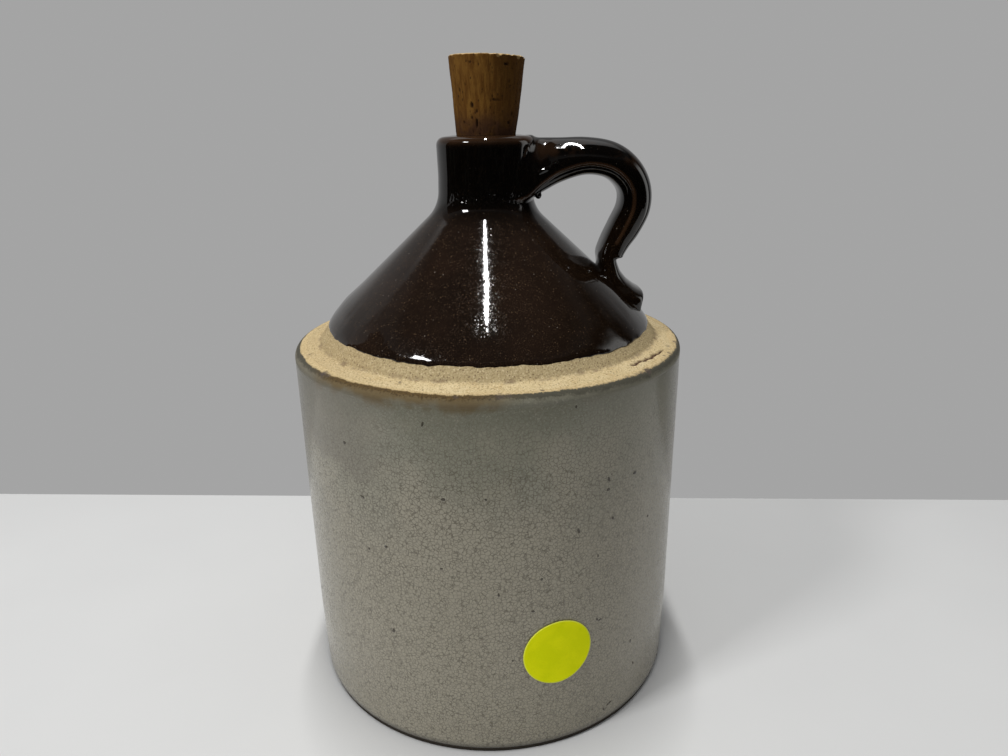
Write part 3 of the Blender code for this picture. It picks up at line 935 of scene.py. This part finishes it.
def body_line(ledge_step, wall_step):
    """Outer side of the lower body, from under the cone's skirt down to the foot."""
    wall_top = (WALL_RADIUS, SHOULDER_HEIGHT - SHOULDER_DEPTH, 0.0)
    ledge = outline([
        (SKIRT_RADIUS - SKIRT_TUCK, SEAT_HEIGHT, 0.0),
        (SKIRT_RADIUS, SEAT_HEIGHT, SEAT_ROUNDING),
        (WALL_RADIUS, SHOULDER_HEIGHT, SHOULDER_ROUNDING),
        wall_top,
    ], ledge_step)
    wall = outline([
        wall_top,
        (WALL_RADIUS, FOOT_TAPER_TOP, FOOT_TAPER_ROUNDING),
        (*FOOT_CHAMFER_TOP, 0.0),
    ], wall_step)
    foot = outline([(*FOOT_CHAMFER_TOP, 0.0), (FOOT_RADIUS, 0.0, 0.0)], step=0.7)
    return joined(ledge, wall, foot)


def coat_share(points):
    """How thick the grey glaze lies on the body line, 0 to 1, and how far past its edge."""
    start = np.argmax(points[:, 0] >= GREY_LINE_RADIUS)
    past = line_length(points) - line_length(points)[start]
    return eased(past, 0.0, GREY_RUN) * eased(points[:, 1], *GREY_WIPED), past


def from_crack(points):
    """Distance of each point from the crack's line, seen from above."""
    angles, radii = np.array(LEDGE_CRACK).T
    return from_line(points[:, :2], polar(radii, np.radians(angles))[:, :2])


def pitted(points, normals, ledge):
    """Points of the ledge with the pits pressed in, and how dark each point is for them."""
    pit = np.zeros(len(points))
    for angle, reach, size, depth, dark in LEDGE_PITS:
        across = (points - polar(reach, math.radians(angle)))[:, :2]
        gap = np.linalg.norm(across, axis=1) * (1.0 + 0.35 * rumple(points, 0.9, 6))
        bowl = np.clip(1.0 - (gap / size) ** 2, 0.0, 1.0) * ledge
        points = pressed(points, normals, depth * bowl ** 1.5)
        pit = np.maximum(pit, dark * eased(bowl, 0.05, 0.6))
    return points, pit


def lower_clay(finish):
    """Clay of the lower body: floor, walls, bare shoulder ledge and foot."""
    inside = outline([
        (0.0, FLOOR_TOP, 0.0),
        (INNER_RADIUS, FLOOR_TOP, FLOOR_ROUNDING),
        (INNER_RADIUS, SEAT_HEIGHT - SEAT_THICKNESS - SEAT_FALL, CEILING_ROUNDING),
        (SEAT_INNER_RADIUS, SEAT_HEIGHT - SEAT_THICKNESS, SEAT_ROUNDING),
        (SEAT_INNER_RADIUS, SEAT_HEIGHT, SEAT_ROUNDING),
        (SKIRT_RADIUS - SKIRT_TUCK, SEAT_HEIGHT, 0.0),
    ], step=9.0)
    outside = body_line(ledge_step=0.62, wall_step=12.0)
    outside = sunk(outside, coat_share(outside)[0] * GREY_COAT)
    under = outline([
        (FOOT_RADIUS, 0.0, 0.0),
        (FOOT_RECESS_RADIUS, 0.0, 0.0),
        (FOOT_RECESS_RADIUS - FOOT_RECESS_SLOPE, FOOT_RECESS_DEPTH, 0.0),
        (0.0, FOOT_RECESS_DEPTH, 0.0),
    ], step=9.0)
    piece = turned("lower_clay", joined(inside, outside, under), finish, steps=800)
    points, normals = places(piece.data), outward(piece.data)
    radius = from_axis(points)
    ledge = eased(points[:, 2], 166.0, 169.0) * eased(radius, 79.0, 81.0)
    swell = rumples(points, (0.22, 17.0, 3), (0.10, 4.2, 4), (0.05, 1.7, 5))
    swell *= 1.0 - 0.6 * eased(radius, 89.0, 90.8)
    points = pressed(points, normals, ledge * (LEDGE_SINK + swell))
    points, pit = pitted(points, normals, ledge)
    gap = from_crack(points) + 0.15 * rumple(points, 0.8, 7)
    crack = eased(gap, 0.95, 0.35) * ledge
    points = pressed(points, normals, CRACK_DEPTH * crack)
    settled(piece, points, "jug", "bare_clay", "jug_base", pit=pit, crack=crack)
    return piece


def from_grey_edge(points, line, past):
    """How far each point of the coat lies below its ragged upper edge, along the outline."""
    spot = np.stack((from_axis(points), points[:, 2]), axis=1)
    top = line[:, 1] > 160.0
    gap = np.linalg.norm(spot[:, None] - line[None, top], axis=2)
    along = past[top][np.argmin(gap, axis=1)]
    angles, radii = np.array(GREY_EDGE, float).T
    turn = np.degrees(np.arctan2(points[:, 1], points[:, 0]))
    edge = np.interp(np.interp(turn, angles, radii), line[top, 0], past[top])
    return along - (edge + rumples(points, (0.4, 5.0, 8), (0.25, 1.9, 9)))


def grey_coat(finish):
    """Glaze on the wall, feathered out at the shoulder and wiped off above the foot."""
    line = body_line(ledge_step=0.5, wall_step=3.0)
    share, past = coat_share(line)
    keep = (past > -GREY_FEATHER) & (line[:, 1] > GREY_FOOT)
    line, share, past = line[keep], share[keep], past[keep]
    feather = GREY_UNDER * (1.0 - eased(past, -GREY_FEATHER, 0.0)) + 0.2 * (1.0 - eased(past, 0.0, 2.2))
    over = sunk(line, feather + 0.2 * eased(line[:, 1], 3.0, GREY_FOOT))
    under = sunk(line, GREY_UNDER + share * (GREY_COAT + 0.1))
    loop = joined(over, under[::-1][::3])
    piece = turned("grey_glaze_coat", loop, finish, steps=640, closed=True, wobble=0.35,
                   wobble_size=70.0, lines=0.10, spacing=9.0, seed=2.0)
    points = places(piece.data)
    past_edge = from_grey_edge(points, line, past)
    points, pit = pitted(points, outward(piece.data), 0.8 * eased(points[:, 2], 168.5, 170.5))
    bare, rim = eased(past_edge, 1.4, -1.0), eased(past_edge, 4.6, 0.6)
    settled(piece, points, "jug", "grey_glaze", bare=bare, rim=rim, pit=pit)


def wall_nicks(finish):
    """Dark nicks and burst bubbles in the grey glaze."""
    angles, heights, widths, talls, tilts = np.array(WALL_NICKS, float).T
    turns = np.radians(angles)
    radii = WALL_RADIUS - NICK_SINK - np.maximum(0.0, FOOT_TAPER_TOP - heights) * FOOT_TAPER
    depths = np.full_like(turns, NICK_DEPTH)
    spans = np.stack((depths, NICK_SHARE * widths, NICK_SHARE * talls), axis=1)
    tilted = np.stack((np.radians(tilts), np.zeros_like(turns), turns), axis=1)
    piece = bits("wall_nicks", polar(radii, turns, heights), spans, tilted, finish, roundness=3,
                 unevenness=0.5, lump_size=0.7, seed=4.0, nick=np.full_like(turns, 0.9))
    spots = places(piece.data)
    spots[:, :2] *= np.minimum(1.0, (WALL_RADIUS - 0.1) / from_axis(spots))[:, None]
    settled(piece, spots, "jug", "grey_glaze")


def grit(finish, *grounds):
    """Grains of grog standing out of the bare clay of the ledge and the skirt."""
    chance = np.random.default_rng(5)
    points = []
    for ground in grounds:
        a, b, c = triangles(ground.data)
        middle = (a + b + c) / 3.0
        radius = from_axis(middle)
        facing = np.cross(b - a, c - a)
        bare = (radius > 77.0) & (radius < 91.0) & (middle[:, 2] > 170.0) & (facing[:, 2] > 0.0)
        bare &= (radius > SKIRT_RADIUS + 0.2) | (ground.name == "upper_clay")
        area = np.linalg.norm(facing, axis=1) * bare
        points.append(middle[chance.choice(len(area), GRAINS, p=area / area.sum())])
    points = np.concatenate(points)
    size = chance.uniform(*GRAIN_SIZES, len(points)) * chance.uniform(0.6, 1.0, len(points))
    spans = size[:, None] * chance.uniform(0.7, 1.3, (len(points), 3))
    turns = chance.uniform(-math.pi, math.pi, (len(points), 3))
    piece = bits("ledge_grit", points, spans, turns, finish, roundness=1, unevenness=0.08,
                 lump_size=0.2, seed=6.0, grain=chance.uniform(-1.0, 1.0, len(points)))
    set_on_jug(piece, "jug", "bare_clay")


# Upper body

def top_line(cone_step, neck_step):
    """Outer side of the upper body: from down in the bore, over the lip, to the skirt's foot."""
    fall = (NECK_FOOT_HEIGHT - CONE_FOOT[1]) / (CONE_FOOT[0] - NECK_RADIUS)
    on_cone = (NECK_RADIUS + CONE_BREAK, NECK_FOOT_HEIGHT - CONE_BREAK * fall, 0.0)
    neck = outline([
        (BORE_RADIUS, BORE_FOOT_HEIGHT, 0.0),
        (MOUTH_RADIUS, MOUTH_HEIGHT, MOUTH_ROUNDING),
        (LIP_RADIUS, LIP_EDGE_HEIGHT, LIP_ROUNDING),
        (NECK_RADIUS, NECK_WAIST_HEIGHT, NECK_WAIST_ROUNDING),
        (NECK_RADIUS, NECK_FOOT_HEIGHT, NECK_FILLET),
        on_cone,
    ], neck_step)
    cone = outline([on_cone, (*CONE_FOOT, CONE_FOOT_ROUNDING), (SKIRT_RADIUS, SEAT_HEIGHT, 0.0)], cone_step)
    return joined(neck, cone)


def outer_line(cone_step, neck_step):
    """The same line from the top of the lip outwards."""
    line = top_line(cone_step, neck_step)
    return line[np.argmax(line[:, 1]):]


def upper_clay(finish):
    """Clay of the cone and neck, bare on the skirt that stands on the ledge."""
    line = top_line(cone_step=1.2, neck_step=2.5)
    glazed = eased(line[:, 0], 76.2, 73.6) + (line[:, 1] > 200.0)
    line = sunk(line, np.minimum(glazed, 1.0) * BROWN_COAT)
    # The skirt's last points make way for a flare that runs out onto the ledge
    line = line[:-5]
    flare = outline([
        (*line[-1], 0.0),
        (SKIRT_RADIUS + 0.2, SEAT_HEIGHT, 2.2),
        (SKIRT_RADIUS + 3.4, SEAT_HEIGHT - 1.2, 0.0),
    ], step=0.4)
    under = np.array([
        (SKIRT_RADIUS + 2.6, SEAT_HEIGHT - 2.0), (SKIRT_INNER_RADIUS, SEAT_HEIGHT - 0.5), *CONE_INSIDE,
    ])
    piece = turned("upper_clay", joined(line, flare[1:], under), finish, steps=720, closed=True)
    points, normals = places(piece.data), outward(piece.data)
    skirt = eased(from_axis(points), 76.0, 77.4) * eased(normals[:, 2], -0.1, 0.2)
    swell = rumples(points, (0.18, 14.0, 13), (0.09, 3.6, 14))
    points = pressed(points, normals, skirt * (SKIRT_SINK + swell))
    settled(piece, leaned(points), "jug", "bare_clay", "jug_top")
    return piece


def slip_line(turn):
    """How far down the skirt the brown glaze runs at each angle, from its mean line."""
    tilt = -0.6 + 1.6 * np.cos(turn + math.radians(55.0))
    return tilt + rumples(polar(78.0, turn), (0.38, 13.0, 21), (0.34, 4.6, 22), (0.16, 2.2, 23))


def brown_coat(finish):
    """Slip glaze over the cone, neck and lip and down the bore, with a raised lower edge."""
    line = top_line(cone_step=1.7, neck_step=1.4)
    line = line[(line[:, 0] < BROWN_LINE_RADIUS) | (line[:, 1] > 190.0)]
    to_edge = line_length(line)[-1] - line_length(line)
    bead = BEAD_RISE * eased(to_edge, *BEAD_SPAN)
    bead -= BEAD_DROP * np.clip(1.0 - to_edge / BEAD_END, 0.0, 1.0) ** 2
    under = sunk(line, BROWN_COAT + BROWN_UNDER)
    loop = joined(sunk(line, -bead), under[::-1][::4])
    piece = turned("brown_glaze_coat", loop, finish, steps=600, closed=True, wobble=0.16,
                   wobble_size=22.0, seed=3.0)
    points = places(piece.data)
    radius = from_axis(points)
    turn = np.arctan2(points[:, 1], points[:, 0])
    shift = eased(radius, 58.0, 73.0) * (points[:, 2] < 205.0) * slip_line(turn)
    down = unit(np.array((SKIRT_RADIUS - CONE_FOOT[0] + 1.2, SEAT_HEIGHT - CONE_FOOT[1])))
    points += polar(shift * down[0], turn, shift * down[1])
    thin = eased(points[:, 2], *LIP_THIN) * (radius > 17.0)
    settled(piece, leaned(points), "jug", "brown_glaze", thin=thin)


# Handle

def above_top(points):
    """Height of each point above the glazed surface of the cone and neck; negative inside."""
    level = points[:, 2]
    radius = np.hypot(points[:, 0] - lean_at(level), points[:, 1])
    spot = np.stack((radius, level), axis=1)
    best = np.full(len(points), np.inf)
    side = np.zeros(len(points))
    for way, gap in gaps_to(spot, outer_line(cone_step=4.0, neck_step=2.0)):
        distance = np.linalg.norm(gap, axis=1)
        nearer = distance < best
        best = np.where(nearer, distance, best)
        side = np.where(nearer, gap[:, 0] * -way[1] + gap[:, 1] * way[0], side)
    return np.where(side >= 0.0, best, -best)


def smooth_stations(stations, count):
    """Catmull-Rom stations through the given ones, count for each span."""
    padded = np.array([stations[0], *stations, stations[-1]], float)
    result = []
    for i in range(1, len(padded) - 2):
        a, b, c, d = padded[i - 1:i + 3]
        for t in np.arange(count) / count:
            bend = 2 * a - 5 * b + 4 * c - d + t * (3 * (b - c) + d - a)
            result.append(b + 0.5 * t * ((c - a) + t * bend))
    return [*result, padded[-1]]


def rounded(turn, width, depth, power):
    """Points round an oval that a power below 1 makes squarer: (across, out)."""
    across = width * np.sign(np.cos(turn)) * np.abs(np.cos(turn)) ** power
    return np.stack((across, depth * np.abs(np.sin(turn)) ** power), axis=1)


def strap_section(half_width, dome, belly, squareness):
    """Domed outside that overhangs a fuller inside, with a ridge on each side: (across, out)."""
    outside = rounded(np.linspace(0.0, math.pi, DOME_POINTS), half_width, dome, 2.0 / squareness)
    turn = np.linspace(math.pi, math.tau, BELLY_POINTS)
    inside = rounded(turn, half_width - RIDGE_OVERHANG, RIDGE_STEP - belly, BELLY_POWER)
    inside[:, 1] -= RIDGE_STEP
    return np.concatenate((outside, inside))


def strap_skin():
    """Skin over the strap's sections, flared where it comes near the cone or neck."""
    rings = []
    for x, z, turn, *sizes in smooth_stations(STRAP, STRAP_STEPS):
        across, out = strap_section(*sizes).T
        sine, cosine = math.sin(math.radians(turn)), math.cos(math.radians(turn))
        rings.append(np.stack((x + out * sine, across, z + out * cosine), axis=1))
    rows, around = len(rings), len(rings[0])
    points = np.concatenate(rings)
    faces = []
    for row, k in itertools.product(range(rows - 1), range(around)):
        after = (k + 1) % around
        a, b = row * around, (row + 1) * around
        faces.append((a + k, a + after, b + after, b + k))
    faces.append(tuple(range(around))[::-1])
    faces.append(tuple(range((rows - 1) * around, rows * around)))
    mesh = shaped("strap_handle", points, (), faces)
    face_outwards(mesh)
    nearness = 1.0 - np.maximum(above_top(points), -0.5) / STRAP_FLARE_REACH
    flare = STRAP_FLARE * np.clip(nearness, 0.0, 1.3) ** 2.2
    put_places(mesh, pressed(points, outward(mesh), -flare))
    return linked("strap_handle", mesh)


def root_burr():
    middle, halves = ROOT_BURR
    line = outline([(0.0, 1.0, 0.0), (1.0, 1.0, 0.99), (1.0, -1.0, 0.99), (0.0, -1.0, 0.0)], step=0.15)
    burr = turned("root_burr", line, None, steps=24)
    put_places(burr.data, places(burr.data) * halves + middle)
    return burr


def handle_seat():
    """Solid of the cone and neck, a little inside their surface, that the strap is cut by."""
    line = sunk(outer_line(cone_step=3.0, neck_step=1.6), STRAP_SINK)
    line = joined(np.array([(0.0, line[0, 1])]), line, np.array([(0.0, line[-1, 1])]))
    seat = turned("handle_seat", line, None, steps=180)
    put_places(seat.data, leaned(places(seat.data)))
    return seat


def ridge_share(points):
    """1 along the strap's two ridges, where the glaze ran thin."""
    share = np.zeros(len(points))
    for x, z, _, half_width, *_ in smooth_stations(STRAP[:STRAP_RIDGED], count=12):
        for side in (-1.0, 1.0):
            gap = np.linalg.norm(points - np.array((x, side * half_width, z)), axis=1)
            share = np.maximum(share, eased(gap, 1.3, 0.5))
    return share


def beside(points, line, width):
    """1 on a line along the strap's front or back, falling off over a width."""
    gaps = (from_line(points, np.array(line) * (1, side, 1)) for side in (-1, 1))
    return np.exp(-(np.minimum(*gaps) / width) ** 2)


def strap_handle(finish):
    """Pulled strap of clay, flared onto the neck, folded and pressed onto the cone, glazed over."""
    strap = strap_skin()
    tools = [root_burr(), handle_seat()]
    for tool, operation in zip(tools, ("UNION", "DIFFERENCE")):
        step = strap.modifiers.new(tool.name, "BOOLEAN")
        step.object = tool
        step.operation = operation
        step.solver = "EXACT"
    made_plain(strap)
    for tool in tools:
        spare = tool.data
        bpy.data.objects.remove(tool)
        bpy.data.meshes.remove(spare)
    remesh = strap.modifiers.new("even", "REMESH")
    remesh.mode = "VOXEL"
    remesh.voxel_size = STRAP_GRID * MM
    ease = strap.modifiers.new("ease", "SMOOTH")
    ease.factor = 0.5
    ease.iterations = 3
    made_plain(strap)
    mesh = strap.data
    covered(mesh, finish)
    points, facing = places(mesh), outward(mesh)
    uneven = 0.7 + 0.6 * rumple(points, 2.4, 31)
    seam = beside(points, ROOT_SEAM, SEAM_WIDTH) * uneven
    wrinkle = beside(points, ROOT_WRINKLE, WRINKLE_WIDTH) * uneven
    collar = beside(points, ROOT_COLLAR, COLLAR_WIDTH)
    lift = SEAM_RISE * seam + WRINKLE_RISE * wrinkle + COLLAR_RISE * collar
    level = eased(facing[:, 2], 0.25, 0.6) * eased(facing[:, 2], 0.98, 0.8)
    patches = eased(rumples(points, (1.0, 6.0, 32), (0.5, 1.6, 33)), -0.3, 0.6)
    worn = level * eased(points[:, 2], 240.0, 250.0) * (0.4 * patches)
    thin = np.maximum.reduce([ridge_share(points), seam, worn])
    settled(strap, pressed(points, facing, -lift), "jug", "brown_glaze", "handle", thin=thin)


# Cork and dot

def cork_pores():
    """The pores in view, and more of their kind round the rest of the cork."""
    chance = np.random.default_rng(11)
    pores = list(CORK_PORES)
    for count, *ranges in MORE_PORES:
        for _ in range(count):
            pores.append([chance.uniform(low, high) for low, high in ranges])
    return pores


def turn_from(turn, angle):
    """Turn from an angle in degrees, the short way round, in radians."""
    return (turn - math.radians(angle) + math.pi) % math.tau - math.pi


def cork_stopper(finish):
    """Tapered cork with its pores, its long grain and a rim crumbled by use."""
    top = CORK_MOUTH_RADIUS + CORK_TAPER * CORK_TOP + CORK_FLARE
    foot = CORK_MOUTH_RADIUS + CORK_TAPER * CORK_BOTTOM
    line = outline([
        (0.0, CORK_TOP + CORK_SPARE, 0.0),
        (top, CORK_TOP + CORK_SPARE, CORK_RIM_ROUNDING),
        (foot, CORK_BOTTOM, CORK_FOOT_ROUNDING),
        (0.0, CORK_BOTTOM, 0.0),
    ], step=0.45)
    piece = turned("cork", line, finish, steps=264)
    points, normals = places(piece.data), outward(piece.data)
    turn = np.arctan2(points[:, 1], points[:, 0])
    radius = from_axis(points)
    side = eased(np.abs(normals[:, 2]), 0.6, 0.3)
    sink = 0.08 + 0.10 * rumple(points * (1.0, 1.0, 0.14), 1.3, 31) + 0.06 * rumple(points, 0.9, 32)
    sink += 0.12 * (1.0 + rumple(points, 9.0, 33))
    rim = eased(points[:, 2], CORK_TOP - 2.2, CORK_TOP - 0.2) * eased(radius, top - 2.6, top - 0.8)
    crumble = np.maximum(eased(np.abs(np.degrees(turn_from(turn, -45.0))), 60.0, 25.0), 0.25)
    chips = np.clip(rumples(points, (1.0, 1.5, 34), (0.35, 3.4, 35)), 0.0, 1.0)
    down = rim * crumble * chips * 1.1
    pit = np.zeros(len(points))
    for angle, height, width, tall, depth in cork_pores():
        across = turn_from(turn, angle) * radius
        gap = np.hypot(across / (width / 2.0), (points[:, 2] - height) / (tall / 2.0))
        bowl = eased(gap * (1.0 + 0.25 * rumple(points, 0.6, 36)), 1.25, 0.55) * side
        sink += bowl * depth
        pit = np.maximum(pit, bowl * min(1.0, 0.35 + depth))
    points = pressed(points, normals, sink)
    points[:, 2] -= down
    face = eased(normals[:, 2], 0.3, 0.7)
    points[:, 2] -= face * 0.12 * (1.0 + rumple(points, 1.4, 37))
    points[:, 2] = np.minimum(points[:, 2], CORK_TOP - 0.1)
    pit = np.maximum(pit, eased(down, 0.45, 0.9) * 0.5)
    cut = np.maximum(face, eased(down, 0.1, 0.4) * 0.3)
    place = Matrix.Translation((lean_at(MOUTH_HEIGHT), 0.0, MOUTH_HEIGHT))
    place = np.array(place @ Matrix.Rotation(math.atan(LEAN), 4, "Y"))
    points = points @ place[:3, :3].T + place[:3, 3]
    settled(piece, points, "stopper", "cork", "cork_stopper", pit=pit, cut=cut)


def paper_dot(finish):
    """Round paper dot bent round the wall, bare, its edge lifting a little."""
    rings, around = DOT_RINGS, DOT_STEPS
    share = np.linspace(0.0, 1.0, rings)[1:, None]
    turn = np.linspace(0.0, math.tau, around, endpoint=False)
    spot = np.concatenate([np.zeros((1, 3)), polar(DOT_RADIUS * share, turn).reshape(-1, 3)])
    reach = np.concatenate([[0.0], np.repeat(share, around)])
    lift = 0.16 * eased(reach, 0.8, 1.0) * (0.5 + 0.5 * rumple(spot, 12.0, 41))
    lift += 0.04 * rumple(spot, 5.0, 42)
    angle = DOT_ANGLE + spot[:, 0] / WALL_RADIUS
    under = WALL_RADIUS + DOT_GAP + np.maximum(lift, 0.0)
    sheets = [polar(radius, angle, DOT_HEIGHT + spot[:, 1]) for radius in (under + DOT_THICKNESS, under)]
    count = len(spot)
    faces = []
    for base, face in ((0, 1), (count, -1)):
        for k in range(around):
            after = (k + 1) % around
            faces.append((base, base + 1 + k, base + 1 + after)[::face])
            for ring in range(rings - 2):
                near, far = base + 1 + ring * around, base + 1 + (ring + 1) * around
                faces.append((near + k, far + k, far + after, near + after)[::face])
    rim = 1 + (rings - 2) * around
    for k in range(around):
        after = (k + 1) % around
        faces.append((rim + k, count + rim + k, count + rim + after, rim + after))
    mesh = shaped("paper_dot", np.concatenate(sheets), (), faces)
    face_outwards(mesh)
    piece = linked("paper_dot", mesh)
    covered(mesh, finish)
    mark(mesh, "edge", eased(np.tile(reach, 2), 0.97, 1.0))
    set_on_jug(piece, "jug", "yellow_paper", "price_dot")


# Camera, light and stage

def photo_camera():
    pitch, roll, yaw = (math.radians(a) for a in (CAMERA_PITCH, CAMERA_ROLL, CAMERA_YAW))
    ahead = Vector((math.sin(yaw) * math.cos(pitch), math.cos(yaw) * math.cos(pitch), -math.sin(pitch)))
    right = ahead.cross(Vector((0, 0, 1))).normalized()
    up = right.cross(ahead)
    turned_right = right * math.cos(roll) + up * math.sin(roll)
    turned_up = up * math.cos(roll) - right * math.sin(roll)
    lens = bpy.data.cameras.new("photo_camera")
    lens.sensor_width = 36.0
    lens.lens = CAMERA_FOCUS * lens.sensor_width / PHOTO_WIDTH
    lens.clip_start = 0.01
    camera = linked("photo_camera", lens)
    axes = Matrix((turned_right, turned_up, -ahead)).transposed().to_4x4()
    camera.matrix_world = Matrix.Translation(CAMERA_PLACE) @ axes
    bpy.context.scene.camera = camera


def area_lamp(name, place, aim, width, depth, power):
    lamp = bpy.data.lights.new(name, "AREA")
    lamp.shape = "RECTANGLE"
    lamp.size, lamp.size_y = width, depth
    lamp.energy = power
    holder = linked(name, lamp)
    holder.location = place
    holder.rotation_euler = (Vector(aim) - Vector(place)).to_track_quat("-Z", "Y").to_euler()


def room_light():
    """Soft grey surroundings, paler round the horizon than overhead."""
    world = bpy.data.worlds.new("room")
    bpy.context.scene.world = world
    world.use_nodes = True
    room = Nodes(world.node_tree)
    room.tree.nodes.clear()
    x, y, z = room.parts(room.add("ShaderNodeTexCoord").outputs["Generated"])
    path = room.add("ShaderNodeLightPath").outputs
    mirrored = room.less(1.0, path["Is Camera Ray"])
    # Dark overhead, except behind the jug, where the wall runs on up and grows paler
    behind = room.less(y, room.times(room.maths("ABSOLUTE", x), 0.6))
    wall_top = room.plus(0.35, room.most(0.0, room.times(behind, 5.0)))
    overhead = room.ramp(room.less(z, wall_top), 0.0, 0.45)
    wall = room.ramp(z, 0.16, 0.36, 0.372, 0.235)
    upper_wall = room.ramp(z, 0.60, 0.80, 0.0, 0.55)
    # In reflections the right side is dim, with a pale patch low down
    dim = room.times(room.ramp(x, 0.2, 0.4), room.ramp(y, 0.76, 0.40, 0.0, 0.95), mirrored)
    pale = room.plus(room.times(wall, room.less(1.0, dim)), upper_wall)
    seen = room.mixed(overhead, room.point(pale, pale, pale), (0.018, 0.018, 0.018))
    patch = room.times(
        mirrored, room.ramp(x, 0.76, 0.88), room.ramp(y, 0.40, 0.28), room.ramp(y, -0.05, 0.06),
        room.ramp(z, 0.60, 0.42),
    )
    seen = room.mixed(patch, seen, (1.25, 1.25, 1.22))
    backdrop = room.out("ShaderNodeBackground", {"Color": seen, "Strength": 1.0})
    fill = room.out("ShaderNodeBackground", {"Color": FILL_COLOUR, "Strength": FILL_STRENGTH})
    shown = room.most(path["Is Camera Ray"], path["Is Glossy Ray"], path["Is Transmission Ray"])
    both = room.out("ShaderNodeMixShader", {0: shown, 1: fill, 2: backdrop})
    room.add("ShaderNodeOutputWorld", {"Surface": both})


def sheet(name, corners, faces, finish):
    mesh = bpy.data.meshes.new(name)
    mesh.from_pydata([tuple(corner) for corner in corners], [], faces)
    mesh.materials.append(finish)
    piece = linked(name, mesh)
    return piece


def table_top():
    """Plain pale floor, as deep as a bench and set a little askew."""
    askew = Matrix.Rotation(FLOOR_ASKEW, 3, "Z")
    sides = ((-FLOOR_HALF, FLOOR_FRONT), (FLOOR_HALF, FLOOR_FRONT), (FLOOR_HALF, FLOOR_BACK),
             (-FLOOR_HALF, FLOOR_BACK))
    pale = Finish("pale_floor", 0.5, 0.4)
    pale.base(pale.noise(180.0, 3.0, 0.55), (0.66, 0.66, 0.655), (0.73, 0.73, 0.72))
    sheet("floor", [askew @ Vector((x, y, 0.0)) for x, y in sides], [(0, 1, 2, 3)], pale.use())


def dim_room():
    """Dark screen round the front, seen only in reflections of the glazed front."""
    turns = [math.radians(a) for a in SCREEN_TURNS]
    corners = [
        (SCREEN_REACH * math.sin(a), -SCREEN_REACH * math.cos(a), z)
        for a in turns for z in (SCREEN_LOW, SCREEN_HIGH)
    ]
    faces = [(2 * k, 2 * k + 2, 2 * k + 3, 2 * k + 1) for k in range(len(turns) - 1)]
    dark = Finish("dim_room", 0.9, 0.0)
    dark.base(dark.noise(300.0), (0.008, 0.008, 0.008), (0.02, 0.02, 0.02))
    room = sheet("dim_room", corners, faces, dark.use())
    room.visible_camera = False
    room.visible_diffuse = False
    room.visible_shadow = False


def main():
    bpy.context.scene.view_settings.view_transform = "Standard"
    photo_camera()
    room_light()
    table_top()
    dim_room()
    for name, values in LAMPS.items():
        area_lamp(name, *values)
    clay, grey, brown = bare_clay(), grey_glaze(), brown_glaze()
    lower = lower_clay(clay)
    grey_coat(grey)
    wall_nicks(grey)
    upper = upper_clay(clay)
    grit(clay, lower, upper)
    brown_coat(brown)
    strap_handle(brown)
    cork_stopper(cork_bark())
    paper_dot(yellow_paper())


main()
